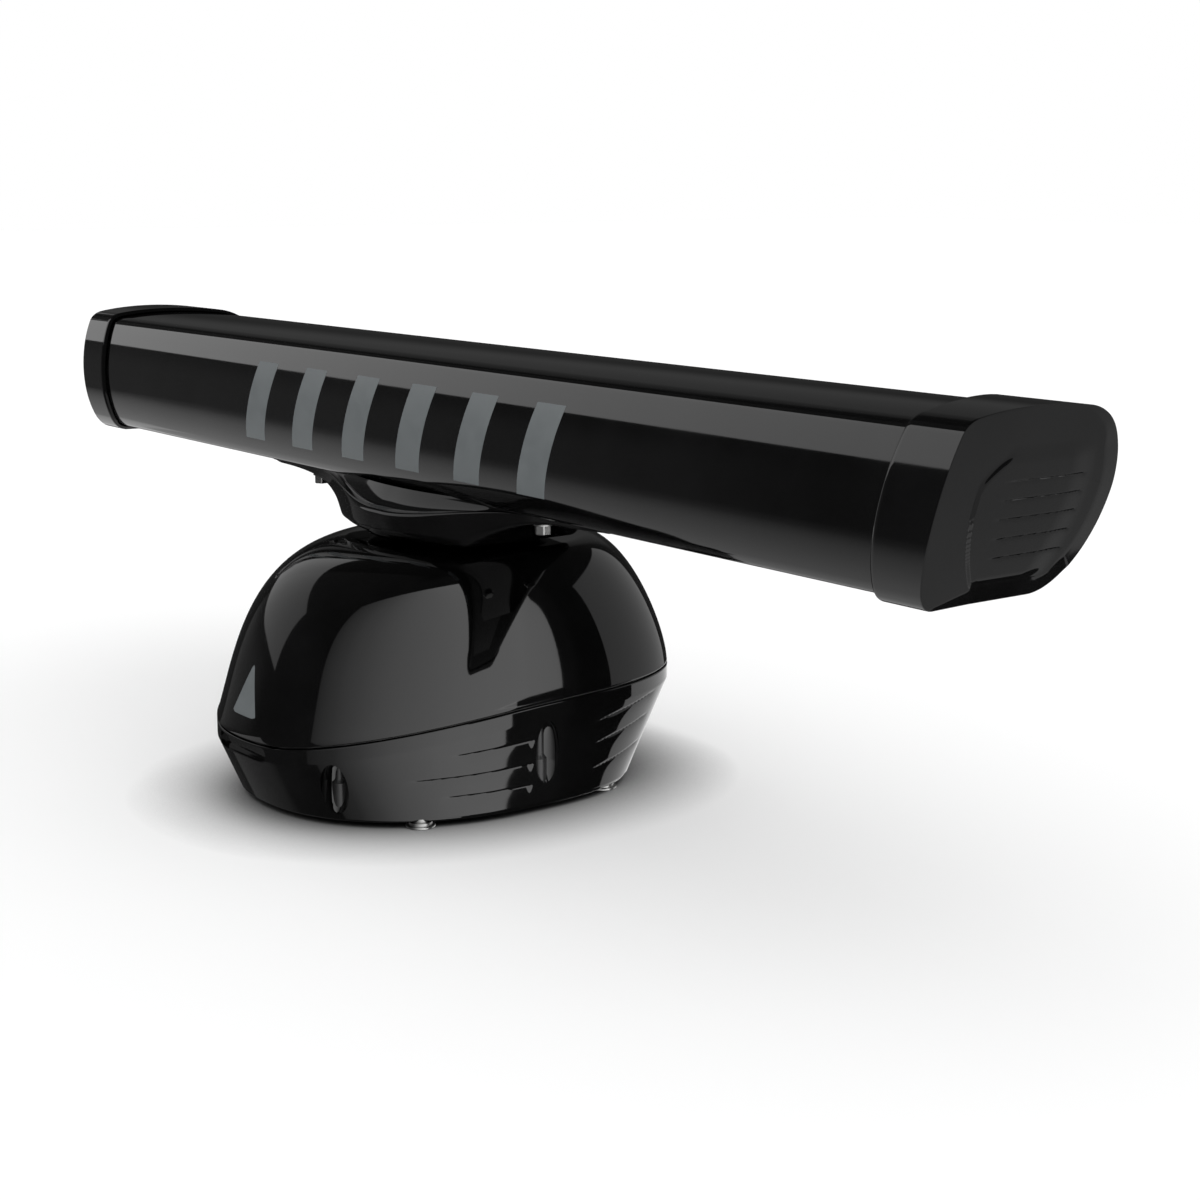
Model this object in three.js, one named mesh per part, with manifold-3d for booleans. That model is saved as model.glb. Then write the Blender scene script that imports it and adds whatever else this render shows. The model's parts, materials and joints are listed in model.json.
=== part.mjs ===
// Open-array marine radar scanner: a long slotted-waveguide bar that turns on a domed pedestal.
// Millimetres, +Z up, +X along the bar, -Y towards the bow. The feet stand on z = 0, and the origin is
// under the middle of the whole scanner's box.
import * as THREE from 'three';
import { mergeVertices } from 'three/addons/utils/BufferGeometryUtils.js';
import Module from 'manifold-3d';

const wasm = await Module();
wasm.setup();

// ---------------------------------------------------------------- driving dimensions
const GAP = 0.3;                 // between faces that touch on the real scanner
const PAST = 1;                  // how far a cutting shape runs past the face it cuts
const SPIN_Y = 18;               // the spin axis stands at x = 0, y = SPIN_Y

// Pedestal
const FOOT_TOP = 5;              // the base's underside
const PAN_WALL = 5;
const COVER_WALL = 4;
const COVER_TOP = 227;
const SHOULDER = 14;             // upright band of the base under the seam
const SEAM_HALF_GAP = 0.9;       // the gasket shows between the two casings
const AROUND = 36;               // points round a casing
const SEAM_PLAN = { half: 166.5, front: 199, rear: 231, centre: -16, frontPower: 2.12, rearPower: 2.6 };
const FOOT_PLAN = { half: 159, front: 174.5, rear: 172, centre: -18, frontPower: 2.12, rearPower: 3.0 };
const SEAM_LEVEL = 101.5;        // seam height along the sides and rear
const SEAM_DIP = 32.5;           // how far it falls at the nose
const DIP_START = 68;            // y where it starts to fall
const DIP_LENGTH = 274;
const DIP_POWER = 2.2;
const CROWN = { radius: 105.5, centre: 30 };       // edge of the level top of the cover
// Cover meridian, as fractions of its run and rise: where it leaves the seam and where it meets the crown.
const MERIDIAN = {
  front: { rise: 0.28, lean: 0.86, reach: 0.83 },
  side: { rise: 0.30, lean: 0.95, reach: 0.586 },
  rear: { rise: 0.26, lean: 0.974, reach: 0.515 },
};

// Feet, captive screws and sockets
const FOOT_X = 131;
const FOOT_FRONT_Y = -108;
const FOOT_REAR_Y = 89;
const FOOT_R = 13;
const FOOT_SHANK_R = 7.5;
const STUD_BORE_R = 4.2;         // tapped for an M10 stud
const FOOT_SHANK_TOP = 20;
const STUD_DEPTH = 17;
const SCREW_R = 4.5;
const SCREW_GRIP_R = 7;          // the knurled lower end that is turned by hand
const POCKET_R = 9;              // the pocket in the base round a captive screw
const SCREW_FRONT = { x: 84, y: -160, bottom: 12, top: 57 };
const SCREW_REAR = { x: 153, y: 2, bottom: 22, top: 80 };
const SOCKET_Z = 48;
const SOCKET_SPREAD = 42;
const SOCKET_FACE_Y = 172;       // upright face that the sockets are screwed to
const SOCKET_R = 13;
const SOCKET_FLANGE_R = 16.5;
const SOCKET_WALL = 2.5;
const PANEL = { half: 66, bottom: 29, top: 67 };   // the recess round the sockets
const VENT = { y: 110, bottom: 3, top: 20, radius: 12, neck: 8 };

// Drive train
const SHAFT_R = 19.7;
const SHAFT_BORE_R = 9;
const SHAFT_SHOULDER_R = 23.5;
const SHAFT_BOTTOM = 46.6;
const SHAFT_TOP = 268;
const BEARING_BORE_R = 20;       // a 40 x 68 x 15 ball bearing
const BEARING_OUTER_R = 34;
const BEARING_WIDTH = 15;
const LOWER_BEARING_Z = 76;
const UPPER_BEARING_Z = 196;
const RACE_THICKNESS = 4;
const BALLS = 8;
const TOWER_R = 41;
const PLATE_Z = 64;
const PLATE_THICKNESS = 6;
const POST_X = 112;
const POST_Y = 82;
const MODULE = 2.4;              // gear tooth size
const GEAR_TEETH = 60;
const PINION_TEETH = 12;
const GEAR_Z = 48;
const GEAR_FACE = 12;
const GEAR_PITCH_R = MODULE * GEAR_TEETH / 2;
const PINION_PITCH_R = MODULE * PINION_TEETH / 2;
const MOTOR_Y = SPIN_Y - GEAR_PITCH_R - PINION_PITCH_R;
const MOTOR_R = 29;
const MOTOR_HEIGHT = 92;
const MOTOR_SHAFT_R = 4;
const CHASSIS_FOOT = PLATE_Z + PLATE_THICKNESS + GAP;   // what stands on the chassis plate
const STATOR_TOP = 30;           // the rotary joint's still and turning halves meet here

// Antenna bar
const TUBE_HALF = 650;
const TUBE_INSET = 4.5;          // the end caps stand this far proud of the tube
const TUBE_WALL = 3;
const CAP_WALL = 4;
const CAP_SEAM_X = 581;          // seam at mid height at the back of the bar
const SEAM_REACH = 45;           // it lies this much further out at the front
const SEAM_SLANT = 0.165;        // and it leans outwards towards the top
const SEAM_MIDDLE_Z = 338;
const BAR_BOTTOM = 269;
const BAR_START = [-50, BAR_BOTTOM];
// The caps' outer cross-section as curves of [depth from the spin axis, height]: flat bottom, sloping back,
// crowned top, rounded front top edge, bulged front, rounded front bottom edge.
const BAR_CURVES = [
  [[45, BAR_BOTTOM]],
  [[76, 270], [97, 308], [102, 345]],
  [[104, 378], [92, 400], [60, 402.5]],
  [[30, 406], [-10, 406], [-44, 400]],
  [[-55, 397.5], [-59, 389]],
  [[-74, 358], [-80, 310], [-67, 281]],
  [[-61, BAR_BOTTOM], [-50, BAR_BOTTOM]],
];
const CURVE_STEPS = 5;
// The end of a cap in (x, z): it sweeps inwards towards the bottom.
const END_CURVE = [[657, 262], [686, 334], [690.8, 412]];
const GUIDE_HALF = 612;
const GUIDE_DEPTH = 25.4;        // WR-90 waveguide
const GUIDE_HEIGHT = 12.7;
const GUIDE_WALL = 1.27;
const GUIDE_FRONT_Y = SPIN_Y - 20;
const GUIDE_Z = 337;
const SLOTS = 54;
const SLOT_PITCH = 22;
const SLOT_TILT = 15;
const SLOT_WIDTH = 1.6;
const SLOT_LENGTH = 9.6;
const HORN_SHEET = 2;
const HORN_MOUTH = 36;           // half its height, and its depth
const RIB_X = 420;
const RAIL_HALF = 230;
const RAIL_TOP = 285;
const BOLT_X = 190;
const BOLT_Y = 36;               // from the spin axis
const BOLT_R = 4;
const BOLT_HEAD = { flats: 13, height: 8 };
const HUB_TOP = 258;
const HUB_BOTTOM = 230;
const HUB_POCKET = { radius: 31, bottom: 252 };    // for the shaft nut
const FEED_TOP = 300;
const WING_HALF = 285;
const WING_HALF_DEPTH = 45;
const WING_ROOT = 95;            // x where a wing leaves the hub
const WING_EDGE = 3.5;           // thickness of a wing at its tip
const WING_DROP = 36;            // and what it gains at its root
const WING_POWER = 3.2;
const WING_TOP = BAR_BOTTOM + TUBE_INSET - 2 * GAP - 0.5;

// ---------------------------------------------------------------- solids and booleans
function facesOut(geometry) {
  geometry.deleteAttribute('normal');
  geometry.deleteAttribute('uv');
  const merged = mergeVertices(geometry, 1e-4);
  const place = merged.getAttribute('position');
  const kept = [];
  let volume = 0;
  const [a, b, c] = [new THREE.Vector3(), new THREE.Vector3(), new THREE.Vector3()];
  for (let i = 0; i < merged.index.count; i += 3) {
    const corner = [0, 1, 2].map((n) => merged.index.getX(i + n));
    if (new Set(corner).size < 3) continue;
    [a, b, c].forEach((v, n) => v.fromBufferAttribute(place, corner[n]));
    volume += a.dot(b.clone().cross(c));
    kept.push(corner);
  }
  merged.setIndex(kept.flatMap(([p, q, r]) => (volume < 0 ? [p, r, q] : [p, q, r])));
  return merged;
}

function toSolid(geometry) {
  const closed = facesOut(geometry.clone());
  return new wasm.Manifold(new wasm.Mesh({
    numProp: 3,
    vertProperties: Float32Array.from(closed.getAttribute('position').array),
    triVerts: Uint32Array.from(closed.index.array),
  }));
}

function toGeometry(solid) {
  const mesh = solid.getMesh();
  const geometry = new THREE.BufferGeometry();
  geometry.setAttribute('position', new THREE.BufferAttribute(mesh.vertProperties, mesh.numProp));
  geometry.setIndex(new THREE.BufferAttribute(mesh.triVerts, 1));
  return geometry;
}

function combine(how, geometries) {
  const solids = geometries.map(toSolid);
  return toGeometry(solids.slice(1).reduce((whole, next) => whole[how](next), solids[0]));
}

const join = (...geometries) => combine('add', geometries);
const cut = (...geometries) => combine('subtract', geometries);
const overlap = (...geometries) => combine('intersect', geometries);

// ---------------------------------------------------------------- basic shapes
function cylinder(radius, bottom, top, x = 0, y = SPIN_Y, sides = 20) {
  const shape = new THREE.CylinderGeometry(radius, radius, top - bottom, sides);
  return shape.rotateX(Math.PI / 2).translate(x, y, (bottom + top) / 2);
}

function box(x0, x1, y0, y1, z0, z1) {
  const shape = new THREE.BoxGeometry(x1 - x0, y1 - y0, z1 - z0);
  return shape.translate((x0 + x1) / 2, (y0 + y1) / 2, (z0 + z1) / 2);
}

// A turned piece on the spin axis; the profile of [radius, z] points closes on itself.
function turned(profile, sides = 24, x = 0, y = SPIN_Y) {
  const points = [...profile, profile[0]].map(([r, z]) => new THREE.Vector2(r, z));
  return facesOut(new THREE.LatheGeometry(points, sides).rotateX(Math.PI / 2).translate(x, y, 0));
}

const sleeve = (inner, outer, bottom, top, sides, x, y) => turned(
  [[inner, bottom], [outer, bottom], [outer, top], [inner, top]], sides, x, y);

function hexagon(acrossFlats, bottom, top, x, y) {
  return cylinder(acrossFlats / Math.sqrt(3), bottom, top, x, y, 6);
}

function shapeOf(points, hole) {
  const shape = new THREE.Shape(points.map(([u, v]) => new THREE.Vector2(u, v)));
  if (hole) shape.holes.push(new THREE.Path(hole.map(([u, v]) => new THREE.Vector2(u, v))));
  return shape;
}

// Extrudes an outline drawn in (y, z) along X.
function alongX(points, x0, x1, hole) {
  const solid = new THREE.ExtrudeGeometry(shapeOf(points, hole), { depth: x1 - x0, bevelEnabled: false });
  const toYZ = new THREE.Matrix4().makeBasis(
    new THREE.Vector3(0, 1, 0), new THREE.Vector3(0, 0, 1), new THREE.Vector3(1, 0, 0));
  return facesOut(solid.applyMatrix4(toYZ).translate(x0, 0, 0));
}

// Extrudes an outline drawn in (x, z) along Y.
function alongY(points, y0, y1) {
  const solid = new THREE.ExtrudeGeometry(shapeOf(points), { depth: y1 - y0, bevelEnabled: false });
  return facesOut(solid.rotateX(Math.PI / 2).translate(0, y1, 0));
}

// Extrudes an outline drawn in (x, y) along Z.
function alongZ(points, z0, z1) {
  const solid = new THREE.ExtrudeGeometry(shapeOf(points), { depth: z1 - z0, bevelEnabled: false });
  return facesOut(solid.translate(0, 0, z0));
}

// Skins a list of rings. With centres it starts and ends on a point. Without them, the last ring meets
// the first.
function ringBody(rings, startCentre, endCentre) {
  const count = rings[0].length;
  const points = rings.flat();
  const index = [];
  const bands = startCentre ? rings.length - 1 : rings.length;
  for (let band = 0; band < bands; band += 1) {
    const low = band * count;
    const high = ((band + 1) % rings.length) * count;
    for (let i = 0; i < count; i += 1) {
      const next = (i + 1) % count;
      index.push(low + i, low + next, high + next, low + i, high + next, high + i);
    }
  }
  if (startCentre) {
    const first = points.push(startCentre) - 1;
    const last = points.push(endCentre) - 1;
    const top = (rings.length - 1) * count;
    for (let i = 0; i < count; i += 1) {
      const next = (i + 1) % count;
      index.push(first, next, i, last, top + i, top + next);
    }
  }
  const geometry = new THREE.BufferGeometry();
  geometry.setAttribute('position', new THREE.Float32BufferAttribute(points.flat(), 3));
  geometry.setIndex(index);
  return facesOut(geometry);
}

// ---------------------------------------------------------------- pedestal casings
const angles = Array.from({ length: AROUND }, (_, i) => 2 * Math.PI * i / AROUND);
const power = (value, exponent) => Math.sign(value) * Math.abs(value) ** (2 / exponent);
const mix = (from, to, share) => from + (to - from) * share;

function plan({ half, front, rear, centre, frontPower, rearPower }, angle, inset = 0) {
  const ahead = Math.sin(angle) < 0;
  const exponent = ahead ? frontPower : rearPower;
  const x = (half - inset) * power(Math.cos(angle), exponent);
  const y = centre + ((ahead ? front : rear) - inset) * power(Math.sin(angle), exponent);
  return [x, y];
}

function seamHeight(y) {
  const run = THREE.MathUtils.clamp((DIP_START - y) / DIP_LENGTH, 0, 1);
  return SEAM_LEVEL - SEAM_DIP * run ** DIP_POWER;
}

function seamRing(inset, lift) {
  return angles.map((angle) => {
    const [x, y] = plan(SEAM_PLAN, angle, inset);
    return [x, y, seamHeight(y) + lift];
  });
}

function meridian(angle, name) {
  const along = Math.sin(angle);
  const front = Math.max(-along, 0) ** 2;
  const rear = Math.max(along, 0) ** 2;
  return MERIDIAN.front[name] * front + MERIDIAN.rear[name] * rear
    + MERIDIAN.side[name] * (1 - front - rear);
}

// One ring of the dome, from the seam (step 0) to the edge of the crown (step 1).
function domeRing(step, inset) {
  const back = 1 - step;
  return angles.map((angle) => {
    const [seamX, seamY] = plan(SEAM_PLAN, angle, inset);
    const bottom = seamHeight(seamY) + SEAM_HALF_GAP;
    const lean = meridian(angle, 'lean');
    const out = back ** 3 + 3 * step * back ** 2 * lean + 3 * step ** 2 * back * meridian(angle, 'reach');
    const up = 3 * step * back ** 2 * meridian(angle, 'rise') + 3 * step ** 2 * back + step ** 3;
    const crownX = CROWN.radius * Math.cos(angle);
    const crownY = CROWN.centre + CROWN.radius * Math.sin(angle);
    return [mix(crownX, seamX, out), mix(crownY, seamY, out), mix(bottom, COVER_TOP - inset, up)];
  });
}

function circleRing(radius, y, z) {
  return angles.map((angle) => [radius * Math.cos(angle), y + radius * Math.sin(angle), z]);
}

function topCover() {
  const steps = [0, 0.12, 0.26, 0.42, 0.6, 0.8, 1];
  const outside = steps.map((step) => domeRing(step, 0));
  const inside = [1, 0.8, 0.6, 0.42, 0.26, 0].map((step) => domeRing(step, COVER_WALL));
  const hole = TOWER_R + GAP;
  return ringBody([
    ...outside,
    circleRing(hole, SPIN_Y, COVER_TOP),
    circleRing(hole, SPIN_Y, COVER_TOP - COVER_WALL),
    ...inside,
  ]);
}

function coverGasket() {
  const thick = SEAM_HALF_GAP - 1.5 * GAP;
  const edge = 2;
  return ringBody([
    seamRing(edge, -thick),
    seamRing(edge, thick),
    seamRing(PAN_WALL, thick),
    seamRing(PAN_WALL, -thick),
  ]);
}

function panRing(step, inset) {
  return angles.map((angle) => {
    const [lowX, lowY] = plan(FOOT_PLAN, angle, inset);
    const [highX, highY] = plan(SEAM_PLAN, angle, inset);
    const top = seamHeight(highY) - SHOULDER;
    return [mix(lowX, highX, step), mix(lowY, highY, step), mix(FOOT_TOP, top, step)];
  });
}

function flat(ring, z) {
  return ring.map(([x, y]) => [x, y, z]);
}

const feet = [[1, FOOT_FRONT_Y], [-1, FOOT_FRONT_Y], [1, FOOT_REAR_Y], [-1, FOOT_REAR_Y]];
const captive = [SCREW_FRONT, SCREW_REAR].flatMap(
  (screw) => [1, -1].map((side) => ({ ...screw, x: side * screw.x })));

function baseHousing() {
  const floor = FOOT_TOP + PAN_WALL;
  const pan = ringBody([
    panRing(0, 0),
    panRing(0.5, 0),
    panRing(1, 0),
    seamRing(0, -SEAM_HALF_GAP),
    seamRing(PAN_WALL + 1, -SEAM_HALF_GAP),
    panRing(1, PAN_WALL + 1),
    flat(panRing(0.06, PAN_WALL + 2), floor),
  ], [0, 0, FOOT_TOP], [0, 0, floor]);
  const bossWall = 4;
  const bossFoot = floor - PAST;
  const rearEnd = SEAM_PLAN.centre + SEAM_PLAN.rear + PAN_WALL;
  const panelWall = 6;
  const bosses = [
    ...captive.map(({ x, y, top }) => cylinder(POCKET_R + bossWall, bossFoot, top, x, y, 12)),
    ...feet.map(([side, y]) => cylinder(
      FOOT_SHANK_R + PAN_WALL, bossFoot, FOOT_SHANK_TOP + panelWall, side * FOOT_X, y, 12)),
    box(-PANEL.half - panelWall, PANEL.half + panelWall, SOCKET_FACE_Y - 8, rearEnd, bossFoot,
      PANEL.top + panelWall),
  ];
  return cut(overlap(join(pan, ...bosses), solidPan()),
    ...captive.map(({ x, y, top, bottom }) => cylinder(POCKET_R, bottom, top - 12, x, y, 12)),
    ...captive.map(({ x, y, top }) => cylinder(SCREW_R + GAP, 30, top + 20, x, y, 12)),
    ...feet.map(([side, y]) => cylinder(FOOT_SHANK_R + GAP, 0, FOOT_SHANK_TOP + PAST, side * FOOT_X, y, 16)),
    box(-PANEL.half, PANEL.half, SOCKET_FACE_Y, rearEnd, PANEL.bottom, PANEL.top),
    ...[-1, 1].map((side) => alongSocket(cylinder(SOCKET_R + GAP, -40, 10, 0, 0, 16), side)),
    cylinder(VENT.neck + GAP, 0, floor + PAST, 0, VENT.y, 16));
}

// The base's outer shape as one lump, so that the bosses can't stand out of it.
function solidPan() {
  return ringBody([panRing(0, 0), panRing(0.5, 0), panRing(1, 0), seamRing(0, -SEAM_HALF_GAP)],
    [0, 0, FOOT_TOP], [0, 0, seamHeight(0) - SEAM_HALF_GAP]);
}

function captiveScrew({ x, y, bottom, top }) {
  return join(
    cylinder(SCREW_R, bottom + 10, top + 6, x, y, 12),
    cylinder(SCREW_GRIP_R, bottom + 2, top - 14, x, y, 12),
  );
}

function mountFoot(side, y) {
  return turned([
    [STUD_BORE_R, 0], [FOOT_R, 0], [FOOT_R, FOOT_TOP - GAP], [FOOT_SHANK_R, FOOT_TOP - GAP],
    [FOOT_SHANK_R, FOOT_SHANK_TOP], [0, FOOT_SHANK_TOP], [0, STUD_DEPTH], [STUD_BORE_R, STUD_DEPTH],
  ], 16, side * FOOT_X, y);
}

function breatherVent() {
  return turned([
    [0, VENT.bottom], [VENT.radius, VENT.bottom], [VENT.radius, FOOT_TOP - GAP],
    [VENT.neck, FOOT_TOP - GAP], [VENT.neck, VENT.top], [0, VENT.top],
  ], 16, 0, VENT.y);
}

// Turns a shape drawn along Z so that it looks backwards out of the socket panel.
function alongSocket(shape, side) {
  return shape.rotateX(-Math.PI / 2).translate(side * SOCKET_SPREAD, SOCKET_FACE_Y, SOCKET_Z);
}

function socket(side, pins) {
  const body = turned([
    [0, -26], [SOCKET_R, -26], [SOCKET_R, GAP], [SOCKET_FLANGE_R, GAP], [SOCKET_FLANGE_R, 3], [SOCKET_R, 3],
    [SOCKET_R, 14], [SOCKET_R - SOCKET_WALL, 14], [SOCKET_R - SOCKET_WALL, -8], [0, -8],
  ], 16, 0, 0);
  const contacts = Array.from({ length: pins }, (_, i) => {
    const turn = 2 * Math.PI * i / pins;
    return cylinder(1.2, -10, -4, 5.5 * Math.cos(turn), 5.5 * Math.sin(turn), 6);
  });
  return alongSocket(join(body, ...contacts), side);
}

// ---------------------------------------------------------------- inside the pedestal
function chassisPlate() {
  const sheet = box(-POST_X - 10, POST_X + 10, SPIN_Y - POST_Y - 36, SPIN_Y + POST_Y + 20,
    PLATE_Z, PLATE_Z + PLATE_THICKNESS);
  const [low, high] = [PLATE_Z - PAST, PLATE_Z + PLATE_THICKNESS + PAST];
  return cut(sheet, cylinder(30, low, high), cylinder(2 * MOTOR_SHAFT_R, low, high, 0, MOTOR_Y, 20));
}

function chassisPost(x, y) {
  return cylinder(7, FOOT_TOP + PAN_WALL + GAP, PLATE_Z - GAP, x, y, 16);
}

function bearingTower() {
  const foot = CHASSIS_FOOT;
  const lip = COVER_TOP - 0.5;
  const bore = BEARING_OUTER_R + GAP;
  const flange = TOWER_R + 9;
  const waist = 30;
  const throat = 28;
  const upper = UPPER_BEARING_Z - GAP;
  const lower = LOWER_BEARING_Z + BEARING_WIDTH + GAP;
  return turned([
    [throat, foot], [flange, foot], [flange, foot + 8], [TOWER_R, foot + 12], [TOWER_R, lip], [bore, lip],
    [bore, upper], [waist, upper], [waist, lower], [bore, lower],
    [bore, LOWER_BEARING_Z - GAP], [throat, LOWER_BEARING_Z - GAP],
  ]);
}

function innerRace(z) {
  return sleeve(BEARING_BORE_R, BEARING_BORE_R + RACE_THICKNESS, z, z + BEARING_WIDTH, 24);
}

function outerRace(z) {
  return sleeve(BEARING_OUTER_R - RACE_THICKNESS, BEARING_OUTER_R, z, z + BEARING_WIDTH, 24);
}

function ballCage(z) {
  const pitch = (BEARING_BORE_R + BEARING_OUTER_R) / 2;
  const middle = z + BEARING_WIDTH / 2;
  const balls = Array.from({ length: BALLS }, (_, i) => {
    const turn = 2 * Math.PI * i / BALLS;
    const ball = new THREE.SphereGeometry(2.6, 6, 4);
    return ball.translate(pitch * Math.cos(turn), SPIN_Y + pitch * Math.sin(turn), middle);
  });
  return join(sleeve(pitch - 0.8, pitch + 0.8, middle - 1, middle + 1, 16), ...balls);
}

// A spur gear's outline; turn is the share of a tooth that it is turned by. Each ring, at the teeth's roots
// and at their tips, has its radius and half a tooth's width there as a share of the tooth pitch.
function gearOutline(teeth, x, y, turn) {
  const pitchR = MODULE * teeth / 2;
  const rings = [[pitchR - 1.2 * MODULE, 0.30], [pitchR + 0.85 * MODULE, 0.13]];
  const points = [];
  for (let tooth = 0; tooth < teeth; tooth += 1) {
    const places = [[0, -1], [1, -1], [1, 1], [0, 1]];
    for (const [ring, side] of places) {
      const [radius, halfShare] = rings[ring];
      const angle = 2 * Math.PI * (tooth + turn + side * halfShare) / teeth;
      points.push([x + radius * Math.cos(angle), y + radius * Math.sin(angle)]);
    }
  }
  return points;
}

function drivenGear() {
  const wheel = alongZ(gearOutline(GEAR_TEETH, 0, SPIN_Y, 0), GEAR_Z, GEAR_Z + GEAR_FACE);
  return cut(wheel, cylinder(BEARING_BORE_R, GEAR_Z - PAST, GEAR_Z + GEAR_FACE + PAST));
}

function motorPinion() {
  // Towards the gear the pinion has a gap, where the gear has a tooth.
  const trim = 0.5;
  const teeth = alongZ(gearOutline(PINION_TEETH, 0, MOTOR_Y, 0.5), GEAR_Z + trim, GEAR_Z + GEAR_FACE - trim);
  return join(teeth, cylinder(MOTOR_SHAFT_R, GEAR_Z + 2, PLATE_Z + PLATE_THICKNESS + 14, 0, MOTOR_Y, 20));
}

function driveMotor() {
  const foot = CHASSIS_FOOT;
  const top = foot + MOTOR_HEIGHT;
  const bore = MOTOR_SHAFT_R + GAP;
  const boreTop = foot + 20;
  const can = MOTOR_R - 3;
  return turned([
    [bore, foot], [MOTOR_R, foot], [MOTOR_R, foot + 8], [can, foot + 10], [can, top - 4],
    [can - 3, top], [0, top], [0, boreTop], [bore, boreTop],
  ], 20, 0, MOTOR_Y);
}

function shaftSeal() {
  const bottom = UPPER_BEARING_Z + BEARING_WIDTH + GAP;
  return sleeve(BEARING_BORE_R + 0.5, BEARING_OUTER_R, bottom, COVER_TOP - 3, 24);
}

function rotaryJointStator() {
  const foot = FOOT_TOP + PAN_WALL + GAP;
  return turned([[0, foot], [24, foot], [24, 16], [18, 16], [18, STATOR_TOP], [0, STATOR_TOP]], 24);
}

function rotaryJointRotor() {
  return cylinder(16, STATOR_TOP + GAP, SHAFT_BOTTOM - GAP, 0, SPIN_Y, 24);
}

function shaftNut() {
  const bottom = HUB_POCKET.bottom + GAP;
  const top = bottom + 9.7;
  return cut(hexagon(50, bottom, top, 0, SPIN_Y), cylinder(BEARING_BORE_R, bottom - PAST, top + PAST));
}

function driveShaft() {
  const shoulderLow = LOWER_BEARING_Z + BEARING_WIDTH + GAP;
  const shoulderHigh = UPPER_BEARING_Z - GAP;
  return turned([
    [SHAFT_BORE_R, SHAFT_BOTTOM], [SHAFT_R, SHAFT_BOTTOM], [SHAFT_R, shoulderLow],
    [SHAFT_SHOULDER_R, shoulderLow], [SHAFT_SHOULDER_R, shoulderHigh], [SHAFT_R, shoulderHigh],
    [SHAFT_R, SHAFT_TOP], [SHAFT_BORE_R, SHAFT_TOP],
  ]);
}

// Each part on the board is [share of its width, share of its depth, width, depth, height].
function circuitBoard(x0, x1, y0, y1, parts) {
  const foot = CHASSIS_FOOT;
  const [bottom, middle, top] = [foot + 6, foot + 7, foot + 8];
  const board = box(x0, x1, y0, y1, bottom, top);
  const edge = 5;
  const legs = [x0 + edge, x1 - edge].flatMap(
    (x) => [y0 + edge, y1 - edge].map((y) => cylinder(3, foot, middle, x, y, 8)));
  const blocks = parts.map(([u, v, width, depth, height]) => {
    const [x, y] = [mix(x0, x1, u), mix(y0, y1, v)];
    return box(x - width / 2, x + width / 2, y - depth / 2, y + depth / 2, middle, top + height);
  });
  return join(board, ...legs, ...blocks);
}

function transceiverModule() {
  const foot = CHASSIS_FOOT;
  const half = 58;
  const [front, rear] = [SPIN_Y + 62, SPIN_Y + 118];
  const can = box(-half, half, front, rear, foot, foot + half);
  const pitch = 16;
  const fins = [-3, -2, -1, 0, 1, 2, 3].map((place) => {
    const x = pitch * place;
    return box(x - 2, x + 2, front + 4, rear - 4, foot + half - PAST, foot + half + 10);
  });
  return join(can, ...fins);
}

// ---------------------------------------------------------------- antenna bar
// The caps' outer cross-section in (y, z).
function barSection() {
  const path = new THREE.Path();
  path.moveTo(...BAR_START);
  for (const curve of BAR_CURVES) {
    const add = ['lineTo', 'quadraticCurveTo', 'bezierCurveTo'][curve.length - 1];
    path[add](...curve.flat());
  }
  const points = path.getPoints(CURVE_STEPS).map((p) => [SPIN_Y + p.x, p.y]);
  const fresh = points.filter(
    ([u, v], i) => i === 0 || Math.hypot(u - points[i - 1][0], v - points[i - 1][1]) > 0.01);
  return fresh.slice(0, -1);
}

// Moves a closed outline inwards by a distance.
function inset(points, distance) {
  return points.map(([u, v], i) => {
    const before = points[(i + points.length - 1) % points.length];
    const after = points[(i + 1) % points.length];
    const run = new THREE.Vector2(after[0] - before[0], after[1] - before[1]).normalize();
    return [u - run.y * distance, v + run.x * distance];
  });
}

const section = barSection();

function barTube() {
  const outer = inset(section, TUBE_INSET);
  const wall = alongX(outer, -TUBE_HALF, TUBE_HALF, inset(section, TUBE_INSET + TUBE_WALL));
  return cut(wall, ...holes(BAR_BOTTOM - 5, BAR_BOTTOM + 20));
}

// A cap's outline in (x, z): square on the inside, swept end on the outside.
function capOutline(trim, inner) {
  const [low, middle, high] = END_CURVE.map(([x, z]) => [x - trim, z]);
  const end = new THREE.Path();
  end.moveTo(inner, low[1]);
  end.lineTo(...low);
  end.quadraticCurveTo(...middle, ...high);
  end.lineTo(inner, high[1]);
  return end.getPoints(8).map((p) => [p.x, p.y]);
}

// What a cap leaves of the tube, in (x, y): its seam runs further inboard towards the back.
function seamPlan() {
  const runs = [0, 0.25, 0.5, 0.75, 1];
  const edge = runs.map((run) => [SEAM_REACH * (1 - run ** 1.5), SPIN_Y - 56 + 140 * run]);
  return [[-200, -120], [SEAM_REACH, -120], ...edge, [0, 200], [-200, 200]];
}

function endCap(side) {
  const [inner, outer] = [530, 700];
  const [front, rear] = [-120, 180];
  const swept = (trim) => alongY(capOutline(trim, inner), front, rear);
  const shell = overlap(alongX(section, inner, outer), swept(0));
  const slant = new THREE.Matrix4().makeShear(0, 0, 0, 0, SEAM_SLANT, 0);
  const inboard = alongZ(seamPlan(), 240, 430);
  inboard.applyMatrix4(slant).translate(CAP_SEAM_X - SEAM_MIDDLE_Z * SEAM_SLANT, 0, 0);
  const hollow = overlap(alongX(inset(section, CAP_WALL + TUBE_INSET), inner, outer), swept(CAP_WALL));
  const shoulder = TUBE_HALF + 3 * GAP + 2;
  const sleeveRoom = alongX(inset(section, TUBE_INSET - GAP), inner, shoulder);
  const cap = cut(shell, inboard, sleeveRoom, hollow);
  return side > 0 ? cap : facesOut(cap.scale(-1, 1, 1));
}

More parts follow.
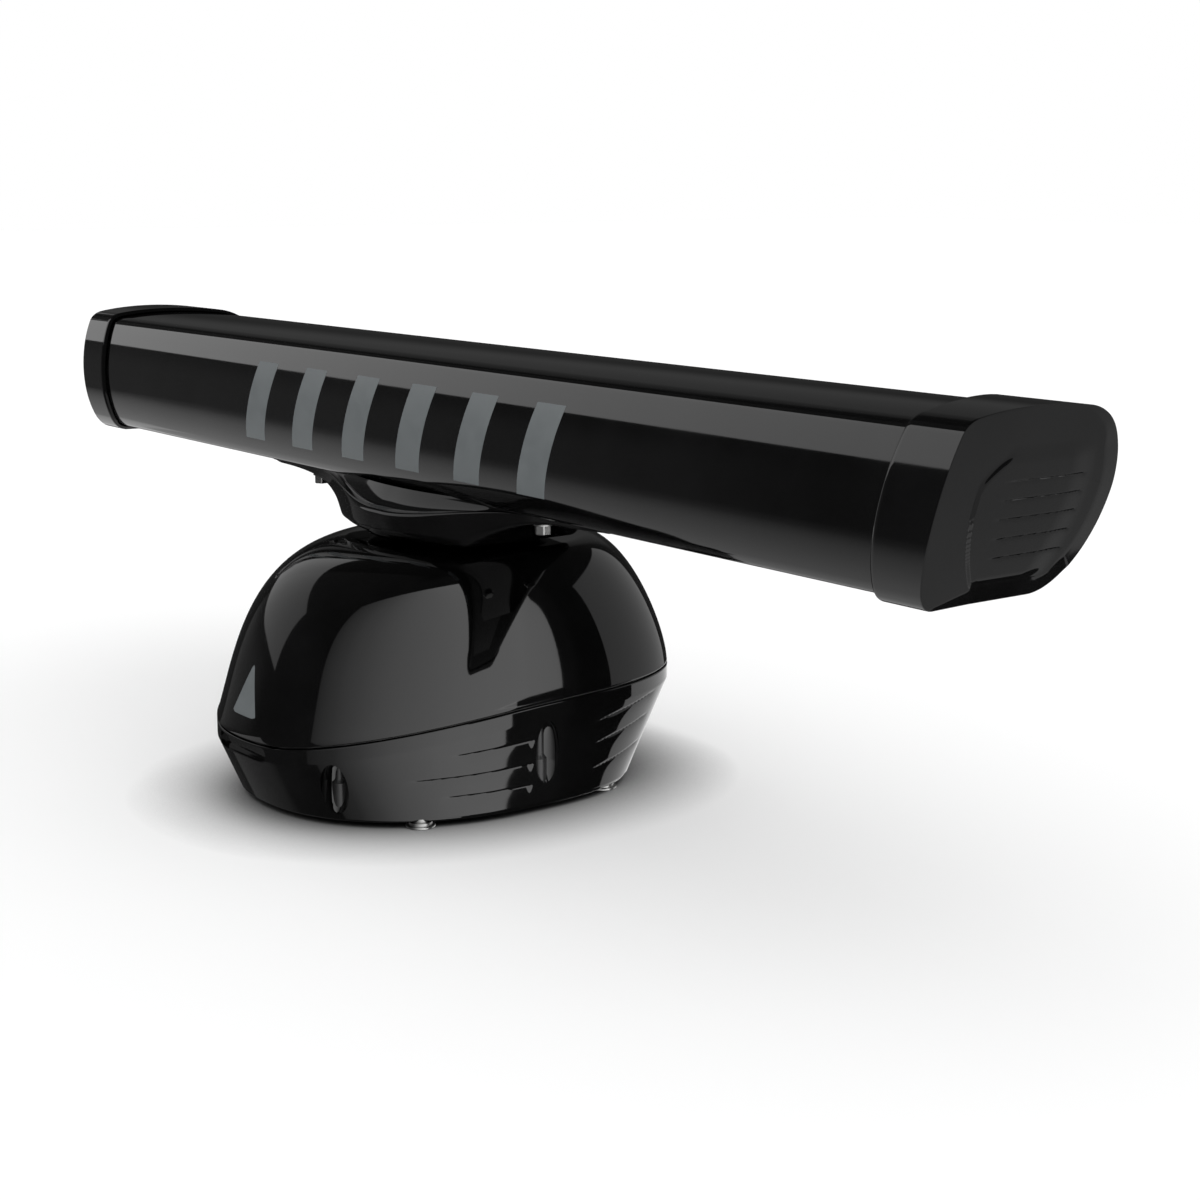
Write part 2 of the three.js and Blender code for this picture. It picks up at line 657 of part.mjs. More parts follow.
function capGasket(side) {
  const seal = alongX(inset(section, TUBE_INSET), TUBE_HALF + GAP, TUBE_HALF + GAP + 2,
    inset(section, TUBE_INSET + TUBE_WALL));
  return side > 0 ? seal : facesOut(seal.scale(-1, 1, 1));
}

function feedCoupler() {
  const [halfWidth, halfDepth] = [22, 14];
  const top = GUIDE_Z - GUIDE_HEIGHT / 2 - 3;
  return box(-halfWidth, halfWidth, SPIN_Y - halfDepth, SPIN_Y + halfDepth, FEED_TOP + GAP, top);
}

function slottedWaveguide() {
  const [y0, y1] = [GUIDE_FRONT_Y, GUIDE_FRONT_Y + GUIDE_DEPTH];
  const [z0, z1] = [GUIDE_Z - GUIDE_HEIGHT / 2, GUIDE_Z + GUIDE_HEIGHT / 2];
  const rectangle = (trim) => [[y0 + trim, z0 + trim], [y1 - trim, z0 + trim], [y1 - trim, z1 - trim],
    [y0 + trim, z1 - trim]];
  const slots = Array.from({ length: SLOTS }, (_, i) => {
    const slot = new THREE.BoxGeometry(SLOT_WIDTH, 6, SLOT_LENGTH);
    slot.rotateY(THREE.MathUtils.degToRad(i % 2 ? SLOT_TILT : -SLOT_TILT));
    return slot.translate((i - (SLOTS - 1) / 2) * SLOT_PITCH, y0, GUIDE_Z);
  });
  return cut(alongX(rectangle(0), -GUIDE_HALF, GUIDE_HALF, rectangle(GUIDE_WALL)), ...slots);
}

// The flared horn's sheet in (y, z): its inner line from the mouth to the back, then its outer line.
function hornOutline() {
  const throat = GUIDE_HEIGHT / 2 + GAP;
  const back = GUIDE_FRONT_Y + GUIDE_DEPTH + GAP;
  const mouth = GUIDE_FRONT_Y - 32;
  const inner = [[mouth, HORN_MOUTH], [GUIDE_FRONT_Y - 1, throat], [back, throat]];
  const outer = [
    [mouth - 1.4, HORN_MOUTH + 1.6],
    [GUIDE_FRONT_Y - 2, throat + HORN_SHEET],
    [back + HORN_SHEET, throat + HORN_SHEET],
  ];
  const below = (points) => points.map(([y, z]) => [y, -z]);
  const line = [...inner, ...below(inner).reverse(), ...below(outer), ...outer.reverse()];
  return line.map(([y, z]) => [y, GUIDE_Z + z]);
}

function foamRib(side) {
  const clear = GUIDE_HEIGHT / 2 + HORN_SHEET + 2 * GAP;
  const front = GUIDE_FRONT_Y - 36;
  const throat = GUIDE_FRONT_Y - 1.5;
  const back = GUIDE_FRONT_Y + GUIDE_DEPTH + HORN_SHEET + 2 * GAP;
  const mouth = HORN_MOUTH + 5;
  const half = [[front, -mouth], [throat, -clear], [back, -clear]];
  const hole = [...half, ...half.map(([y, z]) => [y, -z]).reverse()].map(([y, z]) => [y, GUIDE_Z + z]);
  const middle = side * RIB_X;
  const halfWidth = 12;
  const [low, high] = [middle - halfWidth, middle + halfWidth];
  return cut(alongX(inset(section, TUBE_INSET + TUBE_WALL + GAP), low, high),
    alongX(hole, low - PAST, high + PAST));
}

function guideLoad(side) {
  const trim = GUIDE_WALL + GAP;
  const length = 30;
  const ends = [side * (GUIDE_HALF - length), side * GUIDE_HALF].sort((a, b) => a - b);
  return box(ends[0], ends[1], GUIDE_FRONT_Y + trim, GUIDE_FRONT_Y + GUIDE_DEPTH - trim,
    GUIDE_Z - GUIDE_HEIGHT / 2 + trim, GUIDE_Z + GUIDE_HEIGHT / 2 - trim);
}

// ---------------------------------------------------------------- bracket and its fasteners
const boltPlaces = [-1, 1].flatMap((side) => [-1, 1].map((end) => [side * BOLT_X, SPIN_Y + end * BOLT_Y]));

// The feed's hole and the four bolt holes, through what lies between two heights.
function holes(bottom, top) {
  return [
    cylinder(SHAFT_BORE_R + 2, bottom, top, 0, SPIN_Y, 20),
    ...boltPlaces.map(([x, y]) => cylinder(BOLT_R + GAP, bottom, top, x, y, 10)),
  ];
}

function wingUnderside(x) {
  const reach = THREE.MathUtils.clamp((x - WING_ROOT) / (WING_HALF - WING_ROOT), 0, 1);
  return WING_TOP - WING_EDGE - WING_DROP * (1 - reach) ** WING_POWER;
}

function arrayBracket() {
  const half = [WING_HALF, 240, 200, 165, 140, 120, 107, WING_ROOT].map((x) => [x, wingUnderside(x)]);
  const outline = [
    [-WING_HALF, WING_TOP],
    ...half.map(([x, z]) => [-x, z]),
    ...half.reverse(),
    [WING_HALF, WING_TOP],
  ];
  const wings = alongY(outline, SPIN_Y - WING_HALF_DEPTH, SPIN_Y + WING_HALF_DEPTH);
  const hub = turned([
    [0, HUB_BOTTOM], [76, HUB_BOTTOM], [83, HUB_BOTTOM + 6], [87.5, HUB_BOTTOM + 15],
    [86, HUB_BOTTOM + 22], [80, HUB_TOP], [0, HUB_TOP],
  ], 32);
  return cut(join(wings, hub),
    cylinder(BEARING_BORE_R, HUB_BOTTOM - PAST, WING_TOP + PAST),
    cylinder(HUB_POCKET.radius, HUB_POCKET.bottom, WING_TOP + PAST, 0, SPIN_Y, 24),
    ...holes(HUB_BOTTOM - PAST, WING_TOP + PAST));
}

function bracketBolt([x, y]) {
  const seat = wingUnderside(BOLT_X - 8) - GAP;
  const head = hexagon(BOLT_HEAD.flats, seat - BOLT_HEAD.height, seat, x, y);
  return join(head, cylinder(BOLT_R, seat - 2, RAIL_TOP - 1, x, y, 10));
}

function mountingRail() {
  const bottom = BAR_BOTTOM + TUBE_INSET + TUBE_WALL + GAP;
  const halfDepth = 43;
  const bar = box(-RAIL_HALF, RAIL_HALF, SPIN_Y - halfDepth, SPIN_Y + halfDepth, bottom, RAIL_TOP);
  return cut(bar, ...holes(bottom - PAST, RAIL_TOP + PAST));
}

// ---------------------------------------------------------------- finishes and assembly
const finishes = {
  glossBlack: { color: 0x0b0b0c, roughness: 0.18, metalness: 0 },
  rubber: { color: 0x050505, roughness: 0.85, metalness: 0 },
  steel: { color: 0xb8babc, roughness: 0.3, metalness: 1 },
  aluminium: { color: 0xa9adb0, roughness: 0.45, metalness: 1 },
  brass: { color: 0xb08d43, roughness: 0.35, metalness: 1 },
  blackPlastic: { color: 0x141414, roughness: 0.6, metalness: 0 },
  board: { color: 0x1c5a34, roughness: 0.5, metalness: 0 },
  foam: { color: 0xd8d6cc, roughness: 0.95, metalness: 0 },
};

const scanner = new THREE.Group();
const pedestal = new THREE.Group();
const antenna = new THREE.Group();
scanner.add(pedestal, antenna);

function piece(group, name, geometry, finish) {
  const mesh = new THREE.Mesh(facesOut(geometry), new THREE.MeshStandardMaterial(finishes[finish]));
  mesh.name = name;
  group.add(mesh);
}

piece(pedestal, 'base_housing', baseHousing(), 'glossBlack');
piece(pedestal, 'top_cover', topCover(), 'glossBlack');
piece(pedestal, 'cover_gasket', coverGasket(), 'rubber');
captive.forEach((screw, i) => piece(pedestal, `cover_screw_${i + 1}`, captiveScrew(screw), 'blackPlastic'));
feet.forEach(([side, y], i) => piece(pedestal, `mount_foot_${i + 1}`, mountFoot(side, y), 'steel'));
piece(pedestal, 'power_socket', socket(-1, 3), 'blackPlastic');
piece(pedestal, 'network_socket', socket(1, 5), 'blackPlastic');
piece(pedestal, 'breather_vent', breatherVent(), 'blackPlastic');
piece(pedestal, 'chassis_plate', chassisPlate(), 'aluminium');
[[1, -1], [-1, -1], [1, 1], [-1, 1]].forEach(([side, end], i) => {
  piece(pedestal, `chassis_post_${i + 1}`, chassisPost(side * POST_X, SPIN_Y + end * POST_Y), 'aluminium');
});
piece(pedestal, 'bearing_tower', bearingTower(), 'aluminium');
piece(pedestal, 'upper_bearing_outer_race', outerRace(UPPER_BEARING_Z), 'steel');
piece(pedestal, 'upper_bearing_balls', ballCage(UPPER_BEARING_Z), 'steel');
piece(pedestal, 'lower_bearing_outer_race', outerRace(LOWER_BEARING_Z), 'steel');
piece(pedestal, 'lower_bearing_balls', ballCage(LOWER_BEARING_Z), 'steel');
piece(pedestal, 'shaft_seal', shaftSeal(), 'rubber');
piece(pedestal, 'drive_motor', driveMotor(), 'steel');
piece(pedestal, 'transceiver_module', transceiverModule(), 'aluminium');
piece(pedestal, 'power_board', circuitBoard(66, 122, -40, 62,
  [[0.3, 0.25, 22, 26, 30], [0.7, 0.7, 18, 30, 22], [0.25, 0.72, 14, 18, 16]]), 'board');
piece(pedestal, 'control_board', circuitBoard(-122, -66, -40, 62,
  [[0.5, 0.5, 24, 24, 3], [0.25, 0.18, 14, 12, 9], [0.7, 0.82, 20, 12, 9]]), 'board');
piece(pedestal, 'rotary_joint_stator', rotaryJointStator(), 'brass');

piece(antenna, 'array_tube', barTube(), 'glossBlack');
for (const [side, name] of [[1, 'right'], [-1, 'left']]) {
  piece(antenna, `end_cap_${name}`, endCap(side), 'glossBlack');
  piece(antenna, `cap_gasket_${name}`, capGasket(side), 'rubber');
  piece(antenna, `foam_rib_${name}`, foamRib(side), 'foam');
  piece(antenna, `guide_load_${name}`, guideLoad(side), 'blackPlastic');
}
piece(antenna, 'slotted_waveguide', slottedWaveguide(), 'aluminium');
piece(antenna, 'flared_horn', alongX(hornOutline(), -GUIDE_HALF + 4, GUIDE_HALF - 4), 'aluminium');
piece(antenna, 'feed_coupler', feedCoupler(), 'brass');
piece(antenna, 'feed_pipe', cylinder(SHAFT_BORE_R - 1.5, SHAFT_BOTTOM, FEED_TOP, 0, SPIN_Y, 20), 'brass');
piece(antenna, 'mounting_rail', mountingRail(), 'aluminium');
piece(antenna, 'array_bracket', arrayBracket(), 'glossBlack');
boltPlaces.forEach((place, i) => piece(antenna, `bracket_bolt_${i + 1}`, bracketBolt(place), 'steel'));
piece(antenna, 'drive_shaft', driveShaft(), 'steel');
piece(antenna, 'shaft_nut', shaftNut(), 'steel');
piece(antenna, 'driven_gear', drivenGear(), 'steel');
piece(antenna, 'upper_bearing_inner_race', innerRace(UPPER_BEARING_Z), 'steel');
piece(antenna, 'lower_bearing_inner_race', innerRace(LOWER_BEARING_Z), 'steel');
piece(antenna, 'rotary_joint_rotor', rotaryJointRotor(), 'brass');

piece(scanner, 'motor_pinion', motorPinion(), 'steel');

export default scanner;
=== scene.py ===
"""Open-array radar scanner: fine meshes, materials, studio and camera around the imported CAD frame."""

import json
from math import cos, pi, radians, sin

import bmesh
import bpy
import numpy as np
from mathutils import Matrix, Vector


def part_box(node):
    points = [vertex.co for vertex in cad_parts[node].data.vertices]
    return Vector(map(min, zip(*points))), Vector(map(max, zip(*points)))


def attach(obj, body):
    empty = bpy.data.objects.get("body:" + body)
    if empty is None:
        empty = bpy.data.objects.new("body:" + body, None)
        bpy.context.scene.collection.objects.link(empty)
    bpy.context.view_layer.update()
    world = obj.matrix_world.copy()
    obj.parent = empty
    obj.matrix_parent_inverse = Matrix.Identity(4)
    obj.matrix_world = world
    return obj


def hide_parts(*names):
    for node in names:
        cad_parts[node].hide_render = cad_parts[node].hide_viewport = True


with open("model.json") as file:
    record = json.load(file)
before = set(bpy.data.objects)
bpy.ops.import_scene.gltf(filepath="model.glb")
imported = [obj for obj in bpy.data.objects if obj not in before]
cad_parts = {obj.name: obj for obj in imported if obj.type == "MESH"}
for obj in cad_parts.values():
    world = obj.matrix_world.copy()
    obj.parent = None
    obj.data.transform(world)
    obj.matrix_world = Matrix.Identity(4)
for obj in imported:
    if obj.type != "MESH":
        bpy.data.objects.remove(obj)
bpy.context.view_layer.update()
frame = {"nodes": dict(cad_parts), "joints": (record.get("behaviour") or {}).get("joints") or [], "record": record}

MM = 0.001
SPIN_Y = frame["joints"][0]["pos_m"][1]

# ---------------------------------------------------------------- driving sizes, in metres
BAR_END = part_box("end_cap_right")[1].x
BAR_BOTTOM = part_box("end_cap_right")[0].z
TUBE_INSET = 4.5 * MM  # the caps stand this far proud of the tube
TUBE_WALL = 3 * MM
NO_BORE = 0.2 * MM  # smallest radius of a turned piece that has no bore

BASE_LOW, BASE_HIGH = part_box("base_housing")
COVER_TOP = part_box("top_cover")[1].z
SEAM_PLAN = dict(
    half=BASE_HIGH.x, front=199 * MM, rear=231 * MM, centre=-16 * MM, front_power=2.12, rear_power=2.6
)
FOOT_PLAN = dict(
    half=159 * MM, front=174.5 * MM, rear=172 * MM, centre=-18 * MM, front_power=2.12, rear_power=3.0
)
SEAM_LEVEL = 101.5 * MM  # height of the seam along the sides and rear
SEAM_DIP = 32.5 * MM  # how far it falls towards the nose
DIP_START = 68 * MM
DIP_LENGTH = 274 * MM
SEAM_HALF_GAP = 0.9 * MM
SHOULDER = 14 * MM  # upright band below the seam
EDGE_ROUND = 1 * MM  # rounding of both casings along the seam
CROWN_RADIUS = 105.5 * MM  # flat top of the cover
CROWN_Y = 30 * MM
CASING_WALL = 4 * MM
HUB_RADIUS = 87.5 * MM
HUB_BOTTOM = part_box("array_bracket")[0].z
WING_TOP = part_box("array_bracket")[1].z
WING_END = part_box("array_bracket")[1].x
SOCKET_FACE = 172 * MM  # y of the socket recess's upright face


# ---------------------------------------------------------------- small helpers
def mix(low, high, share):
    return low + (high - low) * share


def smooth(low, high, value):
    share = np.clip((value - low) / (high - low), 0, 1)
    return share * share * (3 - 2 * share)


def bezier(points, count):
    """Points along a Bezier curve of any order, without its last point."""
    t = np.linspace(0, 1, count, endpoint=False)[:, None]
    work = [np.array(p, float) for p in points]
    while len(work) > 1:
        work = [(1 - t) * a + t * b for a, b in zip(work, work[1:])]
    return work[0]


def resample(line, count):
    """An open line at equal steps, with both its ends."""
    run = np.concatenate([[0], np.cumsum(np.linalg.norm(np.diff(line, axis=0), axis=1))])
    places = np.linspace(0, run[-1], count)
    return np.stack([np.interp(places, run, line[:, k]) for k in range(line.shape[1])], -1)


def inset_loop(loop, distance):
    """Moves a closed counter-clockwise (y, z) loop inwards; distance may vary along it."""
    run = np.roll(loop, -1, 0) - np.roll(loop, 1, 0)
    run /= np.linalg.norm(run, axis=1)[:, None]
    inwards = np.stack([-run[:, 1], run[:, 0]], -1)
    return loop + inwards * np.reshape(distance, (-1, 1))


def finish_mesh(name, points, faces, material, sharp=30):
    mesh = bpy.data.meshes.new(name)
    mesh.from_pydata(np.asarray(points).reshape(-1, 3).tolist(), [], faces)
    mesh.materials.append(material)
    piece = bpy.data.objects.new(name, mesh)
    bpy.context.scene.collection.objects.link(piece)
    work = bmesh.new()
    work.from_mesh(mesh)
    bmesh.ops.remove_doubles(work, verts=work.verts, dist=1e-6)
    bmesh.ops.dissolve_degenerate(work, edges=work.edges, dist=1e-7)
    bmesh.ops.recalc_face_normals(work, faces=work.faces)
    work.to_mesh(mesh)
    work.free()
    soften(piece, sharp)
    return piece


def soften(piece, sharp=30):
    piece.data.shade_smooth()
    piece.data.set_sharp_from_angle(angle=radians(sharp))


def skin(rings, wrap=False):
    """Quads between closed rings of equal length. With wrap, the last ring joins the first."""
    rows, count = len(rings), len(rings[0])
    faces = []
    for row in range(rows if wrap else rows - 1):
        low, high = row * count, ((row + 1) % rows) * count
        faces += [(low + i, low + (i + 1) % count, high + (i + 1) % count, high + i) for i in range(count)]
    return faces


def ring_piece(name, rings, material, wrap=False, close=False, sharp=30):
    rings = [np.asarray(ring) for ring in rings]
    faces = skin(rings, wrap)
    if close:
        count = len(rings[0])
        last = (len(rings) - 1) * count
        faces += [tuple(range(count)), tuple(last + i for i in range(count))]
    return finish_mesh(name, np.concatenate(rings), faces, material, sharp)


def turned(name, profile, material, centre=(0, 0), sides=96, sharp=30):
    """A piece turned about a vertical axis from (radius, height) points."""
    turn = np.linspace(0, 2 * pi, sides, endpoint=False)
    rings = [
        np.stack([centre[0] + r * np.cos(turn), centre[1] + r * np.sin(turn), np.full(sides, z)], -1)
        for r, z in profile
    ]
    return ring_piece(name, rings, material, wrap=True, sharp=sharp)


RIDERS = {"pedestal": [], "antenna": []}


def settle(piece, body, slot, *nodes):
    """Parents a piece to the body it moves with and hides the CAD nodes it stands for. The slot argument, its
    finish, is not used.
    """
    RIDERS[body].append(piece)
    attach(piece, body)
    if nodes:
        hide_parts(*nodes)


def subtract(piece, *cutters, sharp=30):
    for cutter in cutters:
        cut = piece.modifiers.new("cut", "BOOLEAN")
        cut.operation = "DIFFERENCE"
        cut.solver = "EXACT"
        cut.object = cutter
        bpy.context.view_layer.update()
        shape = bpy.data.meshes.new_from_object(piece.evaluated_get(bpy.context.evaluated_depsgraph_get()))
        piece.modifiers.remove(cut)
        piece.data = shape
        bpy.data.objects.remove(cutter)
    soften(piece, sharp)


# ---------------------------------------------------------------- materials
class Nodes:
    """Short names for building a node tree."""

    def __init__(self, name):
        self.material = bpy.data.materials.new(name)
        self.material.use_nodes = True
        self.tree = self.material.node_tree
        self.shader = self.tree.nodes["Principled BSDF"]
        self.place = self.add("ShaderNodeTexCoord").outputs["Object"]

    def add(self, kind, **settings):
        node = self.tree.nodes.new(kind)
        for key, value in settings.items():
            if key in node.inputs:
                node.inputs[key].default_value = value
            else:
                setattr(node, key, value)
        return node

    def link(self, source, target):
        self.tree.links.new(source, target)

    def noise(self, scale, detail=3.0, roughness=0.55, stretch=None):
        texture = self.add("ShaderNodeTexNoise", Scale=scale, Detail=detail, Roughness=roughness)
        source = self.place
        if stretch:
            mapping = self.add("ShaderNodeMapping", Scale=stretch)
            self.link(source, mapping.inputs["Vector"])
            source = mapping.outputs["Vector"]
        self.link(source, texture.inputs["Vector"])
        return texture.outputs["Fac"]

    def remap(self, value, low, high, from_low=0.3, from_high=0.7):
        node = self.add("ShaderNodeMapRange")
        node.inputs["From Min"].default_value = from_low
        node.inputs["From Max"].default_value = from_high
        node.inputs["To Min"].default_value = low
        node.inputs["To Max"].default_value = high
        self.link(value, node.inputs["Value"])
        return node.outputs["Result"]

    def blend_colours(self, value, first, second):
        ramp = self.add("ShaderNodeValToRGB")
        ramp.color_ramp.elements[0].color = (*first, 1)
        ramp.color_ramp.elements[1].color = (*second, 1)
        ramp.color_ramp.elements[0].position = 0.35
        ramp.color_ramp.elements[1].position = 0.65
        self.link(value, ramp.inputs["Fac"])
        return ramp.outputs["Color"]

    def bump(self, value, strength, distance):
        node = self.add("ShaderNodeBump", Strength=strength, Distance=distance)
        self.link(value, node.inputs["Height"])
        self.link(node.outputs["Normal"], self.shader.inputs["Normal"])

    def set(self, **sockets):
        for name, value in sockets.items():
            self.shader.inputs[name.replace("_", " ")].default_value = value


def gloss_black(name, base, roughness, spread, orange_peel):
    """Polished black: near-black body, a little haze that comes and goes, and faint orange peel."""
    nodes = Nodes(name)
    haze = nodes.noise(9.0, 4.0)
    fine = nodes.noise(240.0, 2.0)
    lift = [c * 1.9 + 0.002 for c in base]
    nodes.link(nodes.blend_colours(haze, base, lift), nodes.shader.inputs["Base Color"])
    nodes.link(nodes.remap(haze, roughness, roughness + spread), nodes.shader.inputs["Roughness"])
    nodes.bump(fine, orange_peel, 0.0002)
    nodes.set(Specular_IOR_Level=0.5, IOR=1.5)
    return nodes.material


def satin_plastic(name, base, roughness, grain=900.0, strength=0.25):
    nodes = Nodes(name)
    patches = nodes.noise(25.0, 3.0)
    lift = [c * 1.5 + 0.002 for c in base]
    nodes.link(nodes.blend_colours(patches, base, lift), nodes.shader.inputs["Base Color"])
    nodes.link(nodes.remap(patches, roughness - 0.06, roughness + 0.08), nodes.shader.inputs["Roughness"])
    nodes.bump(nodes.noise(grain, 2.0), strength, 0.0002)
    return nodes.material


def bare_metal(name, base, roughness, stretch=(1, 1, 12)):
    """Machined metal with tool marks that run round the piece."""
    nodes = Nodes(name)
    marks = nodes.noise(60.0, 5.0, stretch=stretch)
    stain = nodes.noise(14.0, 3.0)
    dark = [c * 0.82 for c in base]
    nodes.link(nodes.blend_colours(stain, dark, base), nodes.shader.inputs["Base Color"])
    nodes.link(nodes.remap(marks, roughness - 0.07, roughness + 0.1), nodes.shader.inputs["Roughness"])
    nodes.bump(marks, 0.12, 0.0002)
    nodes.set(Metallic=1.0)
    return nodes.material


def marking_grey():
    nodes = Nodes("marking_grey")
    ink = nodes.noise(70.0, 4.0)
    dark, pale = (0.090, 0.101, 0.105), (0.100, 0.112, 0.116)
    nodes.link(nodes.blend_colours(ink, dark, pale), nodes.shader.inputs["Base Color"])
    nodes.link(nodes.remap(ink, 0.42, 0.56), nodes.shader.inputs["Roughness"])
    nodes.bump(nodes.noise(700.0, 2.0), 0.1, 0.0001)
    return nodes.material


PLASTIC = gloss_black("gloss_black_plastic", (0.001, 0.001, 0.0011), 0.03, 0.035, 0.008)
PAINT = gloss_black("gloss_black_paint", (0.0012, 0.0012, 0.0013), 0.035, 0.045, 0.01)
RUBBER = satin_plastic("seal_rubber", (0.004, 0.004, 0.004), 0.7)
SATIN = satin_plastic("matte_black_plastic", (0.01, 0.01, 0.0105), 0.34)
STEEL = bare_metal("machined_steel", (0.34, 0.34, 0.335), 0.3)
ALUMINIUM = bare_metal("bare_aluminium", (0.6, 0.61, 0.62), 0.4)
BRASS = bare_metal("feed_brass", (0.62, 0.45, 0.2), 0.33)
BOARD = satin_plastic("circuit_board", (0.02, 0.13, 0.05), 0.4)
FOAM = satin_plastic("pale_foam", (0.62, 0.6, 0.55), 0.9, grain=300, strength=0.6)
GREY = marking_grey()
SLOT_MATERIALS = {
    "gloss_black_plastic": PLASTIC,
    "gloss_black_paint": PAINT,
    "seal_rubber": RUBBER,
    "matte_black_plastic": SATIN,
    "machined_steel": STEEL,
    "bare_aluminium": ALUMINIUM,
    "feed_brass": BRASS,
    "circuit_board": BOARD,
    "pale_foam": FOAM,
}


def paint_cad_nodes():
    for part in frame["record"]["subparts"]:
        node = frame["nodes"][part["node"]]
        material = SLOT_MATERIALS[part["material_slot"]]
        if node.material_slots:
            for slot in node.material_slots:
                slot.material = material
        else:
            node.data.materials.append(material)


# ---------------------------------------------------------------- the bar's cross-section
# Near the corners of the caps' outer outline, in millimetres from the spin axis and the feet plane.
FRONT_LOW = (-63.5, 272.5)
BACK_LOW = (60, 273)
BACK_HIGH = (84, 395)
FRONT_HIGH = (-55, 396.5)


def bar_outline():
    """The outline's closed loop, counter-clockwise in (y, z), and the four corners' places in it."""
    pieces = [
        [(-50, 269), (45, 269)],
        [(45, 269), (76, 270), (97, 308), (102, 345)],
        [(102, 345), (104, 378), (92, 400), (60, 402.5)],
        [(60, 402.5), (30, 406), (-10, 406), (-44, 400)],
        [(-44, 400), (-55, 397.5), (-59, 389)],
        [(-59, 389), (-74, 358), (-80, 310), (-67, 281)],
        [(-67, 281), (-61, 269), (-50, 269)],
    ]
    loop = np.concatenate([bezier(piece, 200) for piece in pieces])
    near = (FRONT_LOW, BACK_LOW, BACK_HIGH, FRONT_HIGH)
    corners = [np.argmin(np.hypot(*(loop - corner).T)) for corner in near]
    return loop * MM + np.array([SPIN_Y, 0]), corners


ACROSS, UPRIGHT = 160, 260  # steps along the outline's level sides, and along its upright ones


def bar_sides():
    """Bottom, back, top and front sides, each resampled evenly; together they close the loop."""
    loop, corners = bar_outline()
    sides = []
    steps = (ACROSS, UPRIGHT, ACROSS, UPRIGHT)
    for start, end, count in zip(corners, corners[1:] + corners[:1], steps):
        stretch = loop[start:end + 1] if end > start else np.concatenate([loop[start:], loop[:end + 1]])
        sides.append(resample(stretch, count + 1))
    return sides


LOOP = np.concatenate([side[:-1] for side in bar_sides()])


def end_reach(z):
    """How far out the caps' end face lies at a height: it sweeps inwards towards the bottom."""
    t = np.linspace(0, 1, 200)
    x = (1 - t) ** 2 * 657 + 2 * t * (1 - t) * 686 + t ** 2 * 690.8
    height = (1 - t) ** 2 * 262 + 2 * t * (1 - t) * 334 + t ** 2 * 412
    return np.interp(z, height * MM, x * MM)


def seam_reach(y, z):
    """Where a cap's inner edge lies: slanted on the front, and sweeping inboard towards the back."""
    run = np.clip((y - SPIN_Y + 56 * MM) / (140 * MM), 0, 1)
    return 581 * MM + 45 * MM * (1 - run ** 1.5) + 0.165 * (z - 338 * MM)


def at_x(loop, x):
    return np.column_stack([np.broadcast_to(x, len(loop)), loop])


def array_tube():
    outer = inset_loop(LOOP, TUBE_INSET)
    inner = inset_loop(LOOP, TUBE_INSET + TUBE_WALL)
    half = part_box("array_tube")[1].x
    places = np.linspace(-half, half, 61)
    rings = [at_x(outer, x) for x in places] + [at_x(inner, x) for x in places[::-1]]
    tube = ring_piece("bar_tube", rings, PLASTIC, wrap=True)
    settle(tube, "antenna", "gloss_black_plastic", "array_tube")


# ---------------------------------------------------------------- end caps
PANEL_TOP = 373 * MM  # of the raised panel on the end face
PANEL_LEFT = -38 * MM
PANEL_RIGHT = 62 * MM
PANEL_HEIGHT = 2 * MM
SLITS = [302.3, 315.9, 329.5, 342.6, 355.2]  # heights in millimetres
SLIT_DEPTH = 0.75 * MM
CAP_LIP = 3.4 * MM  # rounding of a cap's inner edge
FACE_SET_BACK = 0.3 * MM


def bevel():
    """Width and depth of the bevel round the end face: wide along the back and bottom, thin elsewhere."""
    y, z = LOOP[:, 0] - SPIN_Y, LOOP[:, 1]
    thin, shallow = 1.2 * MM, 0.4 * MM
    back = smooth(30 * MM, 74 * MM, y) * mix(17 * MM, 8 * MM, smooth(372 * MM, 402 * MM, z))
    bottom = smooth(300 * MM, 281 * MM, z) * np.clip((y + 62 * MM) / (48 * MM), 0, 1) * 14 * MM
    back = back * smooth(410 * MM, 396 * MM, z)
    widths = np.maximum(thin, np.maximum(back, bottom))
    back_slope, bottom_slope = 0.16, 0.25
    depths = np.maximum(shallow, np.maximum(back_slope * back, bottom_slope * bottom))
    return widths, depths


def coons(edge):
    """Fills a four-sided loop with a grid whose rows run across it."""
    bottom = edge[:ACROSS + 1]
    back = edge[ACROSS:ACROSS + UPRIGHT + 1]
    top = edge[ACROSS + UPRIGHT:2 * ACROSS + UPRIGHT + 1][::-1]
    front = np.concatenate([edge[2 * ACROSS + UPRIGHT:], edge[:1]])[::-1]
    u = np.linspace(0, 1, ACROSS + 1)[None, :, None]
    v = np.linspace(0, 1, UPRIGHT + 1)[:, None, None]
    flat = (1 - v) * bottom[None] + v * top[None] + (1 - u) * front[:, None] + u * back[:, None]
    corners = (1 - u) * (1 - v) * bottom[0] + u * (1 - v) * bottom[-1]
    corners = corners + (1 - u) * v * top[0] + u * v * top[-1]
    return flat - corners


